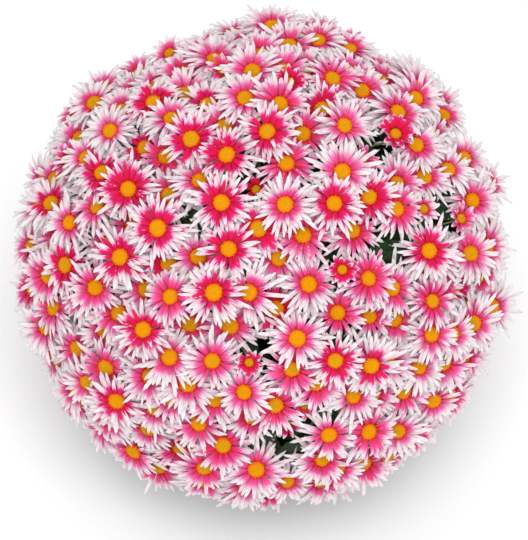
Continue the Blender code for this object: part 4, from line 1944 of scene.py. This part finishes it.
@dataclass
class SoilWork:
    """Makes the soil: a slightly crowned, crumbly top on a plain tapered plug, and loose crumbs."""

    # The plug and its top: radii and heights, and the rings of the top inwards to the innermost.
    rule: ShootRule = field(default_factory=ShootRule)
    low: tuple[float, float] = (0.0708, 0.0065)
    shoulder: tuple[float, float] = (0.0917, 0.118)
    edge: float = 0.0917
    innermost: float = 0.02
    rings: int = 22
    sides: int = 96

    # The waves of the top: how strong, how many in a metre, and the one at its plain height.
    roughness: float = 0.0016
    coarse_wave: float = 90.0
    fine_wave: float = 260.0
    fine_share: float = 0.5
    usual_wave: float = 0.4

    # The crumbs: a margin keeps them off the edge, and they stand out by a share of their size.
    crumb_count: int = 260
    crumb_size: tuple[float, float] = (0.0008, 0.0026)
    crumb_stretch: tuple[tuple[float, float], ...] = ((0.7, 1.4), (0.7, 1.4), (0.5, 0.9))
    crumb_margin: float = 0.004
    crumb_rise: float = 0.25
    pale_share: float = 0.12
    paleness: float = 0.8
    seed: int = 77

    def top(self, x: float, y: float) -> float:
        """Height of the crumbly top at a place."""
        coarse = noise.noise(Vector((x * self.coarse_wave, y * self.coarse_wave, 0.0)))
        fine = noise.noise(Vector((x * self.fine_wave, y * self.fine_wave, 3.0)))
        wave = coarse + self.fine_share * fine
        return self.rule.soil_top(math.hypot(x, y)) + self.roughness * (wave - self.usual_wave)

    def add_plug(self, skin: Skin) -> None:
        """Add the soil itself."""
        turns = even_turns(self.sides)
        rings = [circle(turns, *self.low), circle(turns, *self.shoulder)]
        for share in np.linspace(1.0, self.innermost, self.rings):
            ring = circle(turns, self.edge * share, 0.0)
            ring[:, 2] = [self.top(x, y) for x, y, _ in ring]
            rings.append(ring)
        points = np.vstack(rings)
        places = points[:, :2] / (2 * self.edge) + 0.5
        look = np.array([0.0, 0.0, 0.5, 0.0])
        skin.add(points, lofted(len(rings), self.sides), places, look)

    def add_crumbs(self, skin: Skin) -> None:
        """Scatter loose crumbs over the top, with four corners round each and two at its ends."""
        draw = random.Random(self.seed)
        shape = np.vstack([circle(even_turns(4), 1.0, 0.0).round(), UP, -UP])
        around = [(k, (k + 1) % 4) for k in range(4)]
        faces = [[a, b, 4] for a, b in around] + [[b, a, 5] for a, b in around]
        for _ in range(self.crumb_count):
            reach = (self.edge - self.crumb_margin) * math.sqrt(draw.random())
            turn = draw.uniform(0, 2 * math.pi)
            x, y = reach * math.cos(turn), reach * math.sin(turn)
            size = draw.uniform(*self.crumb_size)
            stretch = np.array([draw.uniform(*limits) for limits in self.crumb_stretch])
            points = turned_about(shape * stretch * size, draw.uniform(0, math.pi))
            points = points + np.array([x, y, self.top(x, y) + size * self.crumb_rise])
            pale = self.paleness * (draw.random() < self.pale_share)
            look = np.array([pale, 0.0, draw.random(), 0.0])
            skin.add(points, faces, np.zeros((len(points), 2)), look)

    def build(self, material: bpy.types.Material) -> bpy.types.Object:
        """Make the soil's piece."""
        skin = Skin()
        self.add_plug(skin)
        self.add_crumbs(skin)
        return skin.piece("potting_soil", material)


@dataclass
class PotWork:
    """Makes the pot: a thin tapered shell with a moulded rim band, a foot ring and drain holes.

    Corners closer than merging are joined, and an edge of crisp_from or more stays crisp.
    """

    height: float = 0.140
    rim_radius: float = 0.098
    rim_height: float = 0.022
    rim_step: float = 0.0035
    foot_radius: float = 0.072
    foot_width: float = 0.007
    foot_recess: float = 0.004
    wall: float = 0.0022
    sides: int = 120
    drain_count: int = 5
    drain_radius: float = 0.006
    drain_circle: float = 0.042
    drain_sides: int = 28
    drill_length: float = 0.02
    ease: float = 0.0009
    merging: float = 0.00001
    crisp_from: float = math.radians(40)

    @property
    def shoulder(self) -> float:
        """Height of the rim band's lower edge."""
        return self.height - self.rim_height

    @property
    def profile(self) -> tuple[tuple[float, float], ...]:
        """The section as radii and heights, from the floor inside, over the rim, to the base."""
        floor = self.foot_recess + self.wall
        rim, wall, ease, shoulder = self.rim_radius, self.wall, self.ease, self.shoulder
        upper = rim - self.rim_step
        inner = upper - wall
        foot, foot_inside = self.foot_radius, self.foot_radius - self.foot_width
        inside = (
            (0.0, floor),
            (foot - wall - 2 * ease, floor),
            (foot - wall + 0.0006, floor + 2 * ease),
            (inner, shoulder),
            (inner + self.rim_step, shoulder + self.rim_step),
            (rim - wall, self.height - ease),
        )
        # The band is moulded: a slight step under its top, and a bead along its lower edge.
        band = (
            (rim - wall * 0.75, self.height),
            (rim - wall * 0.25, self.height),
            (rim, self.height - ease),
            (rim - 0.0002, self.height - 0.004),
            (rim - 0.0010, self.height - 0.005),
            (rim - 0.0012, shoulder + 0.003),
            (rim - 0.0006, shoulder + 0.002),
            (rim - 0.0006, shoulder + ease / 2),
            (rim - 0.0012, shoulder),
            (upper + 0.0003, shoulder - 0.0004),
            (upper, shoulder - 0.0016),
        )
        base = (
            (foot + 0.0006, 0.006),
            (foot, 0.0052),
            (foot, ease),
            (foot - ease, 0.0),
            (foot_inside + ease, 0.0),
            (foot_inside, ease),
            (foot_inside, self.foot_recess),
            (0.0, self.foot_recess),
        )
        return (*inside, *band, *base)

    def shell(self, material: bpy.types.Material) -> bpy.types.Object:
        """Turn the section round the pot's axis.

        Args:
            material: Its finish.

        Returns:
            The pot without its drain holes.
        """
        work = bmesh.new()
        corners = [work.verts.new((radius, 0.0, height)) for radius, height in self.profile]
        edges = [work.edges.new(pair) for pair in zip(corners[:-1], corners[1:])]
        bmesh.ops.spin(
            work,
            geom=[*corners, *edges],
            axis=(0, 0, 1),
            cent=(0, 0, 0),
            angle=2 * math.pi,
            steps=self.sides,
        )
        bmesh.ops.remove_doubles(work, verts=work.verts, dist=self.merging)
        bmesh.ops.recalc_face_normals(work, faces=work.faces)
        piece = self.made("nursery_pot", work)
        piece.data.materials.append(material)
        return piece

    @staticmethod
    def made(name: str, work: bmesh.types.BMesh) -> bpy.types.Object:
        """Turn a finished working mesh into an object."""
        mesh = bpy.data.meshes.new(name)
        work.to_mesh(mesh)
        work.free()
        return linked(name, mesh)

    def drills(self) -> bpy.types.Object:
        """Make the cutters for all the drain holes, as one object."""
        work = bmesh.new()
        for i in range(self.drain_count):
            turn = 2 * math.pi * (i + 0.5) / self.drain_count
            drill = bmesh.ops.create_cone(
                work,
                cap_ends=True,
                segments=self.drain_sides,
                radius1=self.drain_radius,
                radius2=self.drain_radius,
                depth=self.drill_length,
            )
            x, y = self.drain_circle * math.cos(turn), self.drain_circle * math.sin(turn)
            bmesh.ops.translate(work, verts=drill["verts"], vec=(x, y, self.foot_recess))
        return self.made("drills", work)

    def build(self, material: bpy.types.Material) -> bpy.types.Object:
        """Make the pot's piece, with its drain holes cut."""
        piece = self.shell(material)
        cutter = self.drills()
        cut = piece.modifiers.new("drain", "BOOLEAN")
        cut.operation = "DIFFERENCE"
        cut.object = cutter
        graph = bpy.context.evaluated_depsgraph_get()
        mesh = bpy.data.meshes.new_from_object(piece.evaluated_get(graph))
        piece.modifiers.clear()
        piece.data = mesh
        bpy.data.objects.remove(cutter, do_unlink=True)
        mesh.shade_smooth()
        mesh.set_sharp_from_angle(angle=self.crisp_from)
        return piece


@dataclass
class Studio:
    """The floor, the soft light and the camera.

    Attributes:
        floor_side: Length of the floor's sides.
        elevation: How steeply the camera looks down.
        distance: How far it stands from its aim.
        lens: Its focal length, in millimetres.
        sensor: Width of its sensor, in millimetres.
        aim_drop: How far below the ball's centre it aims, across its view.
        sky: Strength of the sky.
        key_from: Where the soft light hangs, as seen from the ball's centre.
        key_distance: How far away it hangs.
        key_size: Its width.
        key_power: Its power, in watts.
    """

    floor_side: float = 12.0
    elevation: float = math.radians(52)
    distance: float = 2.6
    lens: float = 200.0
    sensor: float = 36.0
    aim_drop: float = 0.0103
    sky: float = 0.98
    key_from: tuple[float, float, float] = (0.10, -1.0, 1.45)
    key_distance: float = 2.4
    key_size: float = 1.5
    key_power: float = 27.5

    def floor(self) -> bpy.types.Object:
        """Lay the floor."""
        half = self.floor_side / 2
        mesh = bpy.data.meshes.new("floor")
        corners = [(-half, -half, 0), (half, -half, 0), (half, half, 0), (-half, half, 0)]
        mesh.from_pydata(corners, [], [[0, 1, 2, 3]])
        mesh.materials.append(FloorFinish().material())
        return linked("floor", mesh)

    @staticmethod
    def turn_to(thing: bpy.types.Object, toward: Vector) -> None:
        """Point a camera or a light along a direction."""
        thing.rotation_euler = toward.to_track_quat("-Z", "Y").to_euler()

    def camera(self) -> None:
        """Set up the camera, which looks down on the ball of blooms from the front."""
        toward = Vector((0.0, math.cos(self.elevation), -math.sin(self.elevation)))
        upward = Vector((0.0, math.sin(self.elevation), math.cos(self.elevation)))
        aim = Vector(BALL_CENTRE) - upward * self.aim_drop
        data = bpy.data.cameras.new("camera")
        data.lens = self.lens
        data.sensor_fit = "AUTO"
        data.sensor_width = self.sensor
        camera = linked("camera", data)
        camera.location = aim - toward * self.distance
        self.turn_to(camera, toward)
        bpy.context.scene.camera = camera

    def lights(self) -> None:
        """Hang one large soft light, and fill in with an even white sky."""
        world = bpy.data.worlds.new("studio")
        world.use_nodes = True
        sky = world.node_tree.nodes["Background"]
        sky.inputs["Color"].default_value = (1.0, 1.0, 1.0, 1.0)
        sky.inputs["Strength"].default_value = self.sky
        bpy.context.scene.world = world
        data = bpy.data.lights.new("softbox", "AREA")
        data.shape = "DISK"
        data.size = self.key_size
        data.energy = self.key_power
        toward = -Vector(self.key_from).normalized()
        light = linked("softbox", data)
        light.location = Vector(BALL_CENTRE) - toward * self.key_distance
        self.turn_to(light, toward)

    def build(self) -> None:
        """Set the whole studio up."""
        self.floor()
        self.camera()
        self.lights()
        bpy.context.scene.view_settings.view_transform = "Standard"


def place_piece(piece: bpy.types.Object, node: str) -> None:
    """Say what a piece rides on and which solid it stands for, and hide that solid.

    Args:
        piece: The piece.
        node: The solid that it stands for.
    """
    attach(piece, BODY)
    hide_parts(node)
    LOG.info("%s: %d faces, for %s", piece.name, len(piece.data.polygons), node)


def build_plant() -> None:
    """Build the shoots: petals, discs, stems with stalks and cups, and leaves."""
    rule = BloomRule()
    blooms = rule.blooms()
    shoots = ShootRule().shoots(rule, blooms)
    petals, discs, stems, leaves = PetalWork(), DiscWork(), StemWork(), LeafWork()
    finishes = {
        "petals": PetalFinish().material(),
        "discs": DiscFinish().material(),
        "stems": StemFinish().material(),
        "leaves": LeafFinish().material(),
    }
    for shoot in shoots:
        skins = {name: Skin() for name in finishes}
        for bloom in shoot.blooms:
            petals.add_bloom(skins["petals"], bloom, blooms)
            discs.add_bloom(skins["discs"], bloom)
        stems.add_shoot(skins["stems"], shoot)
        leaves.add_shoot(skins["leaves"], shoot, stems, blooms)
        for name, skin in skins.items():
            piece = skin.piece(f"{name}_{shoot.number:02d}", finishes[name])
            place_piece(piece, shoot.node)


def main() -> None:
    """Dress the whole part."""
    logging.basicConfig(level=logging.INFO, format="%(name)s: %(message)s")
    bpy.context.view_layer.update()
    Studio().build()
    place_piece(PotWork().build(PotFinish().material()), "pot")
    place_piece(SoilWork().build(SoilFinish().material()), "soil")
    build_plant()


if __name__ == "__main__":
    main()
